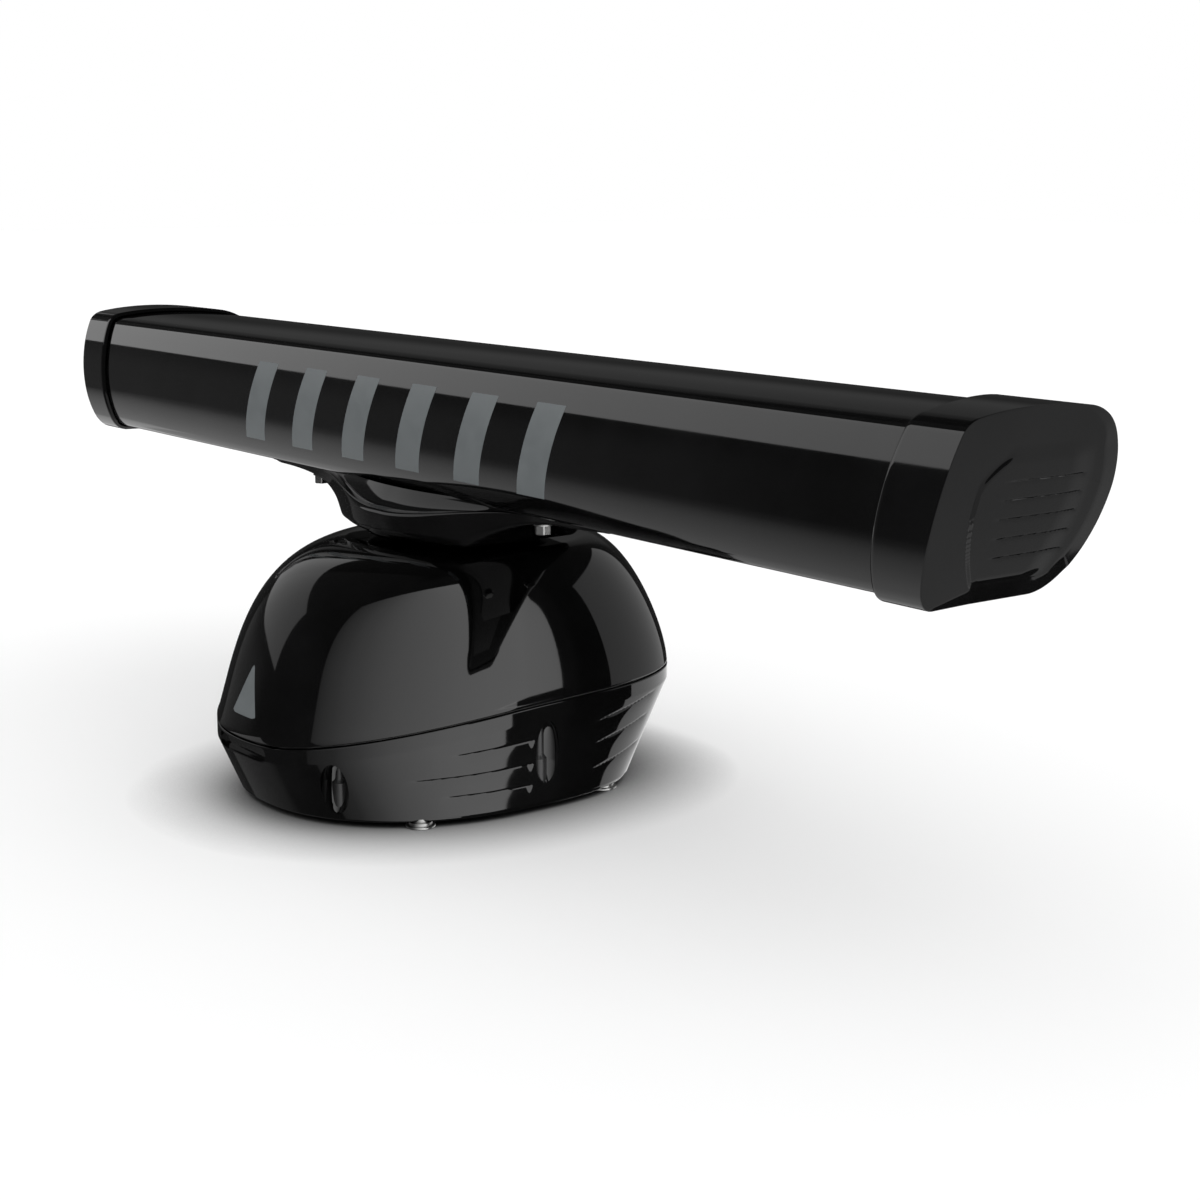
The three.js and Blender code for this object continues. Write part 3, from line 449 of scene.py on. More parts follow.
def end_relief(y, z):
    """The raised panel on the end face, and the slits across it."""
    side = y - SPIN_Y
    middle, corner = 332 * MM, 350 * MM
    left = PANEL_LEFT + 0.004 * np.abs(z - middle) + 6.5 * (z - middle) ** 2
    left = left + np.sqrt(np.clip(z - corner, 0, 1) * 9 * MM) * smooth(corner, 374 * MM, z) * 1.2
    soft = mix(0.9 * MM, 5 * MM, smooth(346 * MM, 366 * MM, z))
    right = PANEL_RIGHT - 3.9 * np.clip(365 * MM - z, 0, 1) ** 2
    raised = smooth(left - soft, left + soft, side) * smooth(PANEL_TOP + 6 * MM, PANEL_TOP - 7 * MM, z)
    raised = raised * smooth(right + 15 * MM, right - 13 * MM, side)
    raised = raised * smooth(280 * MM, 290 * MM, z + 0.25 * np.clip(-18 * MM - side, 0, 1))
    relief = PANEL_HEIGHT * raised
    for number, height in enumerate(SLITS):
        start, end = (-17 + 1.6 * abs(number - 2)) * MM, (60 + 2.0 * min(number, 3)) * MM
        below = height * MM - z
        scoop = np.where(below > 0, np.exp(-below / (1.3 * MM)), np.exp(below / (0.3 * MM)))
        fade = smooth(start - 3 * MM, start + 12 * MM, side) * smooth(end + 2.5 * MM, end - 2.5 * MM, side)
        relief = relief - SLIT_DEPTH * scoop * fade
    return relief


def border_fade():
    """Holds the relief back at the face grid's own border."""
    rows = np.linspace(0, 1, UPRIGHT + 1)[:, None]
    columns = np.linspace(0, 1, ACROSS + 1)[None]
    near = np.minimum(np.minimum(rows, 1 - rows) * UPRIGHT, np.minimum(columns, 1 - columns) * ACROSS)
    return smooth(0, 3, near)


def end_cap(side, name, node):
    """A cap, from its seam over the lip, skin and bevel to the end face's grid."""
    widths, depths = bevel()
    rim = inset_loop(LOOP, widths)
    face = coons(rim)
    face_x = end_reach(face[..., 1]) - FACE_SET_BACK
    edge_x = end_reach(LOOP[:, 1]) - depths
    seam_x = seam_reach(LOOP[:, 0], LOOP[:, 1])
    inner = inset_loop(LOOP, TUBE_INSET - 0.35 * MM)
    rings = [at_x(inner, seam_x + 6 * MM), at_x(inner, seam_x + 0.6 * MM)]
    for turn in np.linspace(0, pi / 2, 5):
        rings.append(at_x(inset_loop(LOOP, CAP_LIP * (1 - sin(turn))), seam_x + CAP_LIP * (1 - cos(turn))))
    for share in np.linspace(0.04, 0.96, 24):
        rings.append(at_x(LOOP, mix(seam_x + CAP_LIP, edge_x - 0.5 * MM, share)))
    rings.append(at_x(LOOP, edge_x - 0.25 * MM))
    rings.append(at_x(inset_loop(LOOP, 0.12 * MM), edge_x + 0.02 * MM))
    rim_x = end_reach(rim[:, 1]) - FACE_SET_BACK
    for share in (0.25, 0.5, 0.75):
        rings.append(at_x(mix(LOOP, rim, share), mix(edge_x, rim_x, share)))
    faces = skin(rings)
    count, base, wide = len(LOOP), len(rings) * len(LOOP), ACROSS + 1
    grid = np.dstack([face_x + end_relief(face[..., 0], face[..., 1]) * border_fade(), face])
    points = np.concatenate(rings + [grid.reshape(-1, 3)])
    for row in range(UPRIGHT):
        for column in range(ACROSS):
            corner = base + row * wide + column
            faces.append((corner, corner + 1, corner + 1 + wide, corner + wide))
    border = [base + i for i in range(ACROSS)]
    border += [base + ACROSS + row * wide for row in range(UPRIGHT)]
    border += [base + UPRIGHT * wide + ACROSS - i for i in range(ACROSS)]
    border += [base + row * wide for row in range(UPRIGHT, 0, -1)]
    last = base - count
    faces += [(last + i, last + (i + 1) % count, border[(i + 1) % count], border[i]) for i in range(count)]
    points[:, 0] *= side
    cap = finish_mesh(name, points, faces, PLASTIC, sharp=24)
    settle(cap, "antenna", "gloss_black_plastic", node)


# ---------------------------------------------------------------- pedestal casings
def power(value, exponent):
    return np.sign(value) * np.abs(value) ** (2 / exponent)


def plan(shape, angle, inset=0.0):
    ahead = np.sin(angle) < 0
    exponent = np.where(ahead, shape["front_power"], shape["rear_power"])
    reach = np.where(ahead, shape["front"], shape["rear"]) - inset
    x = (shape["half"] - inset) * power(np.cos(angle), exponent)
    return x, shape["centre"] + reach * power(np.sin(angle), exponent)


def seam_height(y):
    run = np.clip((DIP_START - y) / DIP_LENGTH, 0, 1)
    return SEAM_LEVEL - SEAM_DIP * run ** 2.2


def meridian(angle, front, side, rear):
    along = np.sin(angle)
    ahead, behind = np.clip(-along, 0, 1) ** 2, np.clip(along, 0, 1) ** 2
    return front * ahead + rear * behind + side * (1 - ahead - behind)


def even_angles(shape, count):
    """Angles that step evenly round a plan outline."""
    fine = np.linspace(0, 2 * pi, 20001)
    x, y = plan(shape, fine)
    run = np.concatenate([[0], np.cumsum(np.hypot(np.diff(x), np.diff(y)))])
    return np.interp(np.linspace(0, run[-1], count, endpoint=False), run, fine)


def dome_ring(angle, step, inset=0.0):
    """The cover's ring from step 0 at the seam to step 1 at the crown, on Bezier meridians."""
    back = 1 - step
    seam_x, seam_y = plan(SEAM_PLAN, angle, inset)
    bottom = seam_height(seam_y) + SEAM_HALF_GAP
    lean = meridian(angle, 0.86, 0.95, 0.974)
    reach = meridian(angle, 0.83, 0.586, 0.515)
    rise = meridian(angle, 0.28, 0.30, 0.26)
    out = back ** 3 + 3 * step * back ** 2 * lean + 3 * step ** 2 * back * reach
    up = 3 * step * back ** 2 * rise + 3 * step ** 2 * back + step ** 3
    x = mix(CROWN_RADIUS * np.cos(angle), seam_x, out)
    y = mix(CROWN_Y + CROWN_RADIUS * np.sin(angle), seam_y, out)
    return np.stack([x, y, mix(bottom, COVER_TOP - inset, up)], -1)


def circle(angle, radius, y, z):
    return np.stack([radius * np.cos(angle), y + radius * np.sin(angle), np.full(len(angle), z)], -1)


def top_cover():
    angle = even_angles(SEAM_PLAN, 420)
    steps = np.linspace(0, 1, 56)
    rings = []
    for turn in np.linspace(0, pi / 2, 4):
        ring = dome_ring(angle, 0.0, EDGE_ROUND * (1 - sin(turn)))
        ring[:, 2] += EDGE_ROUND * (1 - cos(turn))
        rings.append(ring)
    rings += [dome_ring(angle, max(step, 0.012)) for step in steps[1:]]
    hole = (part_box("bearing_tower")[1].x - 9 * MM) + 0.3 * MM
    for share in (0.2, 0.4, 0.6, 0.8, 1.0):
        edge = dome_ring(angle, 1.0)
        target = circle(angle, hole, SPIN_Y, COVER_TOP)
        rings.append(mix(edge, target, share))
    rings.append(circle(angle, hole, SPIN_Y, COVER_TOP - CASING_WALL))
    rings += [dome_ring(angle, step, CASING_WALL) for step in steps[::-4]]
    cover = ring_piece("dome_cover", rings, PLASTIC, wrap=True, sharp=35)
    settle(cover, "pedestal", "gloss_black_plastic", "top_cover")


# Each groove's two ends as (y, z), and how gently it fades in and out, in millimetres.
GROOVES = [
    ((-95, 64.3), (-13, 68.2), 30, 3),
    ((-130, 43.6), (-13, 46.5), 34, 3),
    ((-101, 27.0), (-13, 26.6), 30, 3),
    ((49, 72.0), (140, 84.5), 40, 8),
    ((49, 51.4), (132, 63.5), 40, 8),
    ((49, 27.7), (126, 38.6), 40, 8),
]
GROOVE_DEPTH = 1.5 * MM
GROOVES_FROM = 60 * MM  # the nose and the middle of the rear have none


def side_grooves(x, y, z):
    """Depth of the shallow grooves along the sides and round the rear corners."""
    depth = np.zeros_like(x)
    for (y0, z0), (y1, z1), fade_in, fade_out in GROOVES:
        share = (y / MM - y0) / (y1 - y0)
        below = mix(z0, z1, share) - z / MM
        scoop = np.where(below > 0, np.exp(-below / 4.5), np.exp(below / 0.45))
        along = smooth(y0, y0 + fade_in, y / MM) * smooth(y1 + fade_out, y1 - fade_out, y / MM)
        depth = np.maximum(depth, GROOVE_DEPTH * scoop * along * (np.abs(x) > GROOVES_FROM))
    return depth


def base_ring(angle, share, inset=0.0):
    """Share 0 is the underside, 1 the lower edge of the upright shoulder."""
    low_x, low_y = plan(FOOT_PLAN, angle, inset)
    high_x, high_y = plan(SEAM_PLAN, angle, inset)
    top = seam_height(high_y) - SHOULDER
    return np.stack([mix(low_x, high_x, share), mix(low_y, high_y, share), mix(BASE_LOW.z, top, share)], -1)


def base_housing():
    """The base, from its lower edge up to the seam, then down inside its wall."""
    angle = even_angles(SEAM_PLAN, 900)
    rings = []
    floor = BASE_LOW.z
    edge = 3 * MM
    for turn in np.linspace(0, pi / 2, 5):
        ring = base_ring(angle, 0.0, edge * (1 - sin(turn)))
        ring[:, 2] = floor + edge * (1 - cos(turn))
        rings.append(ring)
    ungrooved = len(rings)
    for share in np.linspace(0.045, 1, 104):
        rings.append(base_ring(angle, share))
    x, y = plan(SEAM_PLAN, angle)
    for share in np.linspace(0.1, 0.92, 9):
        rings.append(np.stack([x, y, seam_height(y) - SHOULDER * (1 - share) - SEAM_HALF_GAP * share], -1))
    outward = np.stack([np.gradient(y), -np.gradient(x)], -1)
    outward /= np.linalg.norm(outward, axis=1)[:, None]
    for ring in rings[ungrooved:]:
        depth = side_grooves(ring[:, 0], ring[:, 1], ring[:, 2])
        ring[:, :2] -= outward * depth[:, None]
    for turn in np.linspace(pi / 2, 0, 4):
        rim_x, rim_y = plan(SEAM_PLAN, angle, EDGE_ROUND * (1 - sin(turn)))
        top = seam_height(rim_y) - SEAM_HALF_GAP - EDGE_ROUND * (1 - cos(turn))
        rings.append(np.stack([rim_x, rim_y, top], -1))
    wall = 20 * MM  # deep enough for the pockets and the nose recess
    rear = 160 * MM  # and the rear wall for the socket recess
    inner_x, inner_y = plan(SEAM_PLAN, angle, wall)
    rings.append(np.stack([inner_x, np.minimum(inner_y, rear), seam_height(y) - SEAM_HALF_GAP], -1))
    low = base_ring(angle, 0.06, wall)
    low[:, 1] = np.minimum(low[:, 1], rear)
    low[:, 2] = floor + 5 * MM
    rings.append(low)
    base = ring_piece("base_casting", rings, PAINT, close=True, sharp=38)
    subtract(base, *base_cutters(), sharp=38)
    settle(base, "pedestal", "gloss_black_paint", "base_housing")


def ellipsoid(name, centre, sizes, turn=0.0):
    work = bmesh.new()
    bmesh.ops.create_uvsphere(work, u_segments=64, v_segments=48, radius=1.0)
    for vert in work.verts:
        x, y, z = vert.co.x * sizes[0], vert.co.y * sizes[1], vert.co.z * sizes[2]
        across, along = x * cos(turn) - y * sin(turn), x * sin(turn) + y * cos(turn)
        vert.co = (centre[0] + across, centre[1] + along, centre[2] + z)
    mesh = bpy.data.meshes.new(name)
    work.to_mesh(mesh)
    work.free()
    piece = bpy.data.objects.new(name, mesh)
    bpy.context.scene.collection.objects.link(piece)
    return piece


def rounded_box(name, low, high, radius, axis):
    """A box whose four long edges along an axis are rounded."""
    others = [k for k in range(3) if k != axis]
    left, right = low[others[0]] + radius, high[others[0]] - radius
    bottom, top = low[others[1]] + radius, high[others[1]] - radius
    centres = [(right, top), (left, top), (left, bottom), (right, bottom)]
    loop = []
    for quarter, (u, v) in enumerate(centres):
        for turn in np.linspace(0, pi / 2, 9) + quarter * pi / 2:
            loop.append((u + radius * cos(turn), v + radius * sin(turn)))
    rings = []
    for end in (low[axis], high[axis]):
        ring = np.zeros((len(loop), 3))
        ring[:, others] = loop
        ring[:, axis] = end
        rings.append(ring)
    return ring_piece(name, rings, PAINT, close=True)


# The screws' lens-shaped pockets on the +x side; the other side mirrors them.
POCKETS = [
    dict(x=96 * MM, y=-172 * MM, z=37 * MM, turn=radians(-49), wide=12.5 * MM, tall=27 * MM, deep=15 * MM),
    dict(x=165 * MM, y=4 * MM, z=54 * MM, turn=0.0, wide=12.5 * MM, tall=30 * MM, deep=11 * MM),
]


def base_cutters():
    """The screw pockets, the finger recess at the nose and the socket recess at the rear."""
    cutters = []
    for side in (1, -1):
        for p in POCKETS:
            turn = p["turn"] if side > 0 else pi - p["turn"]
            centre = (side * p["x"], p["y"], p["z"])
            cutters.append(ellipsoid("pocket", centre, (p["deep"], p["wide"], p["tall"]), turn))
    nose, along_y = BASE_LOW.y, 1
    low, high = (-42 * MM, nose - 10 * MM, 53 * MM), (42 * MM, nose + 9 * MM, 66.5 * MM)
    cutters.append(rounded_box("finger_recess", low, high, 6 * MM, along_y))
    low, high = (-66 * MM, SOCKET_FACE, 29 * MM), (66 * MM, 240 * MM, 67 * MM)
    cutters.append(rounded_box("socket_recess", low, high, 7 * MM, along_y))
    return cutters


# ---------------------------------------------------------------- bracket under the bar
SEAT_HALF = 45 * MM  # half depth of the wings and of the seat under the bar
HUB_BULGE = HUB_RADIUS - 0.3 * MM - SEAT_HALF
FLARE_START, FLARE_END = 8 * MM, 190 * MM
WING_ROOT, WING_LENGTH = 103 * MM, 182 * MM
WING_FALL = 36 * MM  # from a wing's tip down to its root
TIP_THICKNESS = 3.5 * MM
LOWEST = HUB_BOTTOM + 1.5 * MM
SHOULDER_FALL = 15.4 * MM  # of the hub's shoulder below the seat


def bracket_section(x):
    """The bracket's cross-section at x as a closed loop of (side, height)."""
    reach = np.clip((abs(x) - WING_ROOT) / WING_LENGTH, 0, 1)
    rise = WING_TOP - TIP_THICKNESS - WING_FALL * (1 - reach) ** 3.2 - LOWEST
    softness = 2 * MM
    low = LOWEST + softness * float(np.logaddexp(0, rise / softness))
    low = min(low, WING_TOP - TIP_THICKNESS + 0.1 * MM)
    bulge = HUB_BULGE * (1 - float(smooth(FLARE_START, FLARE_END, abs(x))))
    tip = 0.86 + 0.14 * float(smooth(WING_END + 1e-6, WING_END - 30 * MM, abs(x)))
    inner = SEAT_HALF * tip
    depth = inner + bulge
    crown = inner + 0.52 * bulge
    tall = WING_TOP - low
    roll = min(11 * MM, 0.4 * tall)
    top = WING_TOP - 0.3 * MM
    brim = top + 4.5 * MM * min(1.0, bulge / (20 * MM))
    shoulder = WING_TOP - max(0.12 * tall, SHOULDER_FALL * bulge / HUB_BULGE)
    turned_in = (depth - 0.16 * bulge, mix(shoulder, top, 0.12))
    lower = bezier([
        (depth - roll, low), (depth - 0.3 * roll, low), (depth, low + 0.3 * roll), (depth, low + roll),
    ], 10)
    side = bezier([
        (depth, low + roll), (depth, shoulder - 1 * MM), (depth - 0.04 * bulge, shoulder), turned_in,
    ], 12)
    slope = bezier([
        turned_in, (mix(inner, depth, 0.68), mix(shoulder, top, 0.35)),
        (mix(inner, depth, 0.56), mix(shoulder, brim, 0.7)), (crown, brim),
    ], 12)
    seat = [(crown - 0.3 * MM, brim + 0.3 * MM), (crown - 0.6 * MM - 0.5 * bulge, WING_TOP)]
    half = np.concatenate([lower, side[1:], slope[1:], seat])
    return np.concatenate([half, half[::-1] * (-1, 1)])


def array_bracket():
    """A seat under the bar that flares out to a round hub and tapers to two thin wings."""
    arm = np.concatenate([np.linspace(0, 130 * MM, 70), np.linspace(132 * MM, WING_END, 70)])
    rings = []
    for x in np.concatenate([-arm[:0:-1], arm]):
        loop = bracket_section(x)
        rings.append(at_x(np.column_stack([loop[:, 0] + SPIN_Y, loop[:, 1]]), x))
    wings = ring_piece("bracket_wings", rings, PAINT, close=True, sharp=40)
    settle(wings, "antenna", "gloss_black_paint", "array_bracket")
    bore, rim, top = 20 * MM, HUB_RADIUS - 14 * MM, HUB_BOTTOM + 24 * MM
    corner = bezier([
        (rim, HUB_BOTTOM), (HUB_RADIUS - 3 * MM, HUB_BOTTOM),
        (HUB_RADIUS, HUB_BOTTOM + 6 * MM), (HUB_RADIUS, HUB_BOTTOM + 14.5 * MM),
    ], 16)
    profile = [(bore, HUB_BOTTOM), (rim, HUB_BOTTOM)] + [tuple(point) for point in corner[1:]]
    profile += [(HUB_RADIUS - 1 * MM, HUB_BOTTOM + 18 * MM), (rim, top), (bore, top)]
    hub = turned("bracket_hub", profile, PAINT, centre=(0, SPIN_Y), sides=160, sharp=40)
    settle(hub, "antenna", "gloss_black_paint", "array_bracket")


# ---------------------------------------------------------------- fasteners and feet
def centre_of(low, high):
    return (low.x + high.x) / 2, (low.y + high.y) / 2


def hex_bolt(name, node):
    low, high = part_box(node)
    x, y = centre_of(low, high)
    flat, head, chamfer = 6.5 * MM, 8 * MM, 1.0 * MM
    washer, washer_thick, shank = 8.2 * MM, 1.1 * MM, 4 * MM
    sides = 96
    angle = np.linspace(0, 2 * pi, sides, endpoint=False) + radians(30)
    hexagon = np.minimum(flat / np.cos((angle % (pi / 3)) - pi / 6), flat * 1.12)
    seat = low.z + head
    outlines = [
        (hexagon - chamfer, low.z), (hexagon, low.z + 0.8 * MM), (hexagon, seat),
        (washer, seat), (washer, seat + washer_thick), (shank, seat + washer_thick), (shank, high.z),
    ]
    rings = []
    for radius, z in outlines:
        across, along = radius * np.sin(angle), radius * np.cos(angle)
        rings.append(np.stack([x + across, y + along, np.full(sides, z)], -1))
    bolt = ring_piece(name, rings, STEEL, close=True, sharp=25)
    settle(bolt, "antenna", "machined_steel", node)


def captive_screw(name, node):
    low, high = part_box(node)
    grip, shank = 7 * MM, 4.5 * MM
    profile = [
        (NO_BORE, low.z), (grip - 1.2 * MM, low.z), (grip, low.z + 1.2 * MM), (grip, low.z + 24 * MM),
        (grip - 1.5 * MM, low.z + 26 * MM), (shank, low.z + 28 * MM), (shank, high.z), (NO_BORE, high.z),
    ]
    screw = turned(name, profile, SATIN, centre=centre_of(low, high), sides=64)
    settle(screw, "pedestal", "matte_black_plastic", node)


def mount_foot(name, node):
    low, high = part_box(node)
    bore, bore_depth, neck = 4.2 * MM, 17 * MM, 4.7 * MM
    shank, blind = 7.5 * MM, 0.3 * MM
    profile = [
        (bore, bore_depth), (bore, 0.6 * MM), (bore + 0.6 * MM, 0), (12.2 * MM, 0), (12.9 * MM, 0.5 * MM),
        (13 * MM, 1.6 * MM), (12.6 * MM, 2.1 * MM), (10.4 * MM, 2.3 * MM), (10.2 * MM, neck), (shank, neck),
        (shank, high.z), (blind, high.z), (blind, bore_depth),
    ]
    foot = turned(name, profile, STEEL, centre=centre_of(low, high), sides=96)
    settle(foot, "pedestal", "machined_steel", node)


def socket(node, pins):
    """A round panel socket that looks backwards: flange, threaded barrel and brass contacts."""
    low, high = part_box(node)
    x, z = (low.x + high.x) / 2, (low.z + high.z) / 2
    barrel, flange, bore = 13 * MM, (high.x - low.x) / 2, 10.5 * MM
    root = barrel - 0.9 * MM
    mouth, bottom = 14 * MM, -8 * MM
    face = high.y - mouth

    def backwards(name, profile, material, offset=(0, 0), sides=96):
        piece = turned(name, profile, material, centre=offset, sides=sides)
        piece.data.transform(Matrix.Translation((x, face, z)) @ Matrix.Rotation(-pi / 2, 4, "X"))
        return piece

    profile = [
        (NO_BORE, low.y - face), (barrel, low.y - face), (barrel, 0.1 * MM), (flange - 0.6 * MM, 0.1 * MM),
        (flange, 0.7 * MM), (flange, 2.2 * MM), (flange - 0.8 * MM, 3 * MM), (root, 3 * MM),
    ]
    for turn in range(6):
        start = (3.6 + 1.5 * turn) * MM
        crest, end = (start + 0.5 * MM, start + 0.8 * MM), start + 1.3 * MM
        profile += [(root, start), (barrel, crest[0]), (barrel, crest[1]), (root, end)]
    profile += [
        (root, 13.4 * MM), (barrel - 1.5 * MM, mouth), (bore, mouth), (bore, bottom), (NO_BORE, bottom),
    ]
    settle(backwards(f"{node}_barrel", profile, SATIN), "pedestal", "matte_black_plastic", node)
    middle, radius, foot = 0.1 * MM, 1.2 * MM, bottom - 1 * MM
    pin = [(middle, foot), (radius, foot), (radius, -4.6 * MM), (0.7 * MM, -4.1 * MM), (middle, -4 * MM)]
    circle_radius = 5.5 * MM
    for number in range(pins):
        turn = 2 * pi * number / pins
        offset = (circle_radius * cos(turn), -circle_radius * sin(turn))
        piece = backwards(f"{node}_pin_{number + 1}", pin, BRASS, offset, sides=24)
        settle(piece, "pedestal", "feed_brass", node)


def breather_vent():
    low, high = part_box("breather_vent")
    radius, neck = (high.x - low.x) / 2, 8 * MM
    profile = [
        (NO_BORE, low.z + 1 * MM), (5 * MM, low.z + 1 * MM), (6 * MM, low.z), (radius - 1 * MM, low.z),
        (radius, low.z + 1 * MM), (radius, low.z + 3.2 * MM), (radius - 0.6 * MM, low.z + 4 * MM),
        (neck, low.z + 4.1 * MM), (neck, high.z), (NO_BORE, high.z),
    ]
    plug = turned("vent_plug", profile, SATIN, centre=centre_of(low, high), sides=64)
    settle(plug, "pedestal", "matte_black_plastic", "breather_vent")


# ---------------------------------------------------------------- grey markings
FILM = 0.12 * MM  # thickness of a printed marking


def surface_patch(name, rows, columns, place):
    """A thin closed film on a surface: place(u, v) gives points and normals."""
    u, v = np.meshgrid(np.linspace(0, 1, columns), np.linspace(0, 1, rows))
    points, normals = place(u, v)
    top = points + normals * FILM
    low = points + normals * (FILM * 0.1)
    count = rows * columns
    faces = []
    for layer in (0, count):
        for row in range(rows - 1):
            for column in range(columns - 1):
                corner = layer + row * columns + column
                faces.append((corner, corner + 1, corner + 1 + columns, corner + columns))
    border = list(range(columns - 1))
    border += [row * columns + columns - 1 for row in range(rows - 1)]
    border += [(rows - 1) * columns + column for column in range(columns - 1, 0, -1)]
    border += [row * columns for row in range(rows - 1, 0, -1)]
    for here, beside in zip(border, border[1:] + border[:1]):
        faces.append((here, beside, beside + count, here + count))
    return finish_mesh(name, np.concatenate([top.reshape(-1, 3), low.reshape(-1, 3)]), faces, GREY, sharp=60)


def front_face(height):
    """Depth and outward normal of the tube's front face at a height."""
    outline = inset_loop(LOOP, TUBE_INSET)
    front = outline[2 * ACROSS + UPRIGHT:]
    order = np.argsort(front[:, 1])
    y, z = front[order, 0], front[order, 1]
    slope = np.gradient(y, z)
    depth = np.interp(height, z, y)
    lean = np.interp(height, z, slope)
    size = np.sqrt(1 + lean ** 2)
    return depth, np.stack([np.zeros_like(height), -1 / size, lean / size], -1)


def bar_marking():
    low, high = 294 * MM, 372 * MM
    slant, strokes, width = 0.3, 6, 40 * MM
    first, last = -288, 196  # millimetres along the bar
    for number in range(strokes):
        start = mix(first, last, number / (strokes - 1)) * MM

        def place(u, v, start=start):
            z = mix(low, high, v)
            y, normal = front_face(z)
            return np.stack([start + u * width + (z - low) * slant, y, z], -1), normal

        mark = surface_patch(f"bar_marking_{number + 1}", 24, 12, place)
        settle(mark, "antenna", "marking_grey")


def dome_point(x, z):
    """Where the cover's front stands at (x, z): the ring angle and step are found by halving."""
    halvings = 30
    low, high = np.full_like(x, 0.0), np.full_like(x, 1.0)
    for _ in range(halvings):
        step = (low + high) / 2
        left, right = np.full_like(x, -pi), np.full_like(x, 0.0)
        for _ in range(halvings):
            angle = (left + right) / 2
            point = dome_ring(angle, step)
            left = np.where(point[..., 0] < x, angle, left)
            right = np.where(point[..., 0] < x, right, angle)
        low = np.where(point[..., 2] < z, step, low)
        high = np.where(point[..., 2] < z, high, step)
    return point


def bow_marker():
    """A rounded triangle on the nose that points up towards the bar."""
    apex, base, half, rounding = 131 * MM, 87.5 * MM, 20 * MM, 3 * MM

    def place(u, v):
        z = mix(base, apex, v)
        corner = np.sqrt(np.clip(1 - np.clip(1 - v * (apex - base) / rounding, 0, 1) ** 2, 0, 1))
        blunt = 1.2 * MM * np.clip((1 - v) / 0.04, 0, 1)
        reach = np.minimum(half * (1 - v), half - rounding * 1.6 * (1 - corner)) + blunt
        x = (2 * u - 1) * reach
        point = dome_point(x, z)
        near = 0.4 * MM
        aside = dome_point(x + near, z) - point
        above = dome_point(x, z + near) - point
        normal = np.cross(aside, above)
        return point, normal / np.linalg.norm(normal, axis=-1, keepdims=True)

    mark = surface_patch("bow_marker", 28, 14, place)
    settle(mark, "pedestal", "marking_grey")


def build():
    paint_cad_nodes()
    array_tube()
    end_cap(1, "cap_right", "end_cap_right")
    end_cap(-1, "cap_left", "end_cap_left")
    top_cover()
    base_housing()
    array_bracket()
    socket("power_socket", 3)
    socket("network_socket", 5)
    breather_vent()
    for number in range(1, 5):
        hex_bolt(f"hex_bolt_{number}", f"bracket_bolt_{number}")
        captive_screw(f"captive_screw_{number}", f"cover_screw_{number}")
        mount_foot(f"foot_{number}", f"mount_foot_{number}")
    bar_marking()
    bow_marker()


# ---------------------------------------------------------------- studio and camera
FLOOR_WHITE = 0.93
FLOOR_LIGHT = 1.38  # radiance of the surroundings as matt surfaces see them
STUDIO_DARK = 0.03  # and as gloss sees them, between the panels
CONTACT_REACH = 0.1  # metres round an object in which a painted shadow darkens the floor's colour
CONTACT_POWER = 1.3


def compass(from_place, azimuth, distance, height):
    turn = radians(azimuth)
    return Vector((from_place[0] + distance * cos(turn), from_place[1] + distance * sin(turn), height))


def panel_light(name, centre, facing, size, radiance, receivers, shades=None):
    """A soft panel that lights only some pieces. Shades are (place, share) stops across its width."""
    data = bpy.data.lights.new(name, "AREA")
    data.shape = "RECTANGLE"
    data.size, data.size_y = size
    data.energy = radiance * pi * size[0] * size[1]
    if shades:
        data.use_nodes = True
        tree = data.node_tree
        glow = tree.nodes["Emission"]
        place = tree.nodes.new("ShaderNodeNewGeometry").outputs["Parametric"]
        split = tree.nodes.new("ShaderNodeSeparateXYZ")
        ramp = tree.nodes.new("ShaderNodeValToRGB")
        stops = ramp.color_ramp.elements
        while len(stops) < len(shades):
            stops.new(0.5)
        for stop, (where, share) in zip(stops, shades):
            stop.position = where
            stop.color = (share, share, share, 1)
        tree.links.new(place, split.inputs["Vector"])
        tree.links.new(split.outputs["X"], ramp.inputs["Fac"])
        tree.links.new(ramp.outputs["Color"], glow.inputs["Color"])
    lamp = bpy.data.objects.new(name, data)
    lamp.location = centre
    lamp.rotation_euler = (Vector(facing) - Vector(centre)).to_track_quat("-Z", "Y").to_euler()
    lamp.visible_camera = False
    lamp.visible_diffuse = False
    bpy.context.scene.collection.objects.link(lamp)
    group = bpy.data.collections.new(name + "_receivers")
    for piece in receivers:
        group.objects.link(piece)
    lamp.light_linking.receiver_collection = group
    return lamp


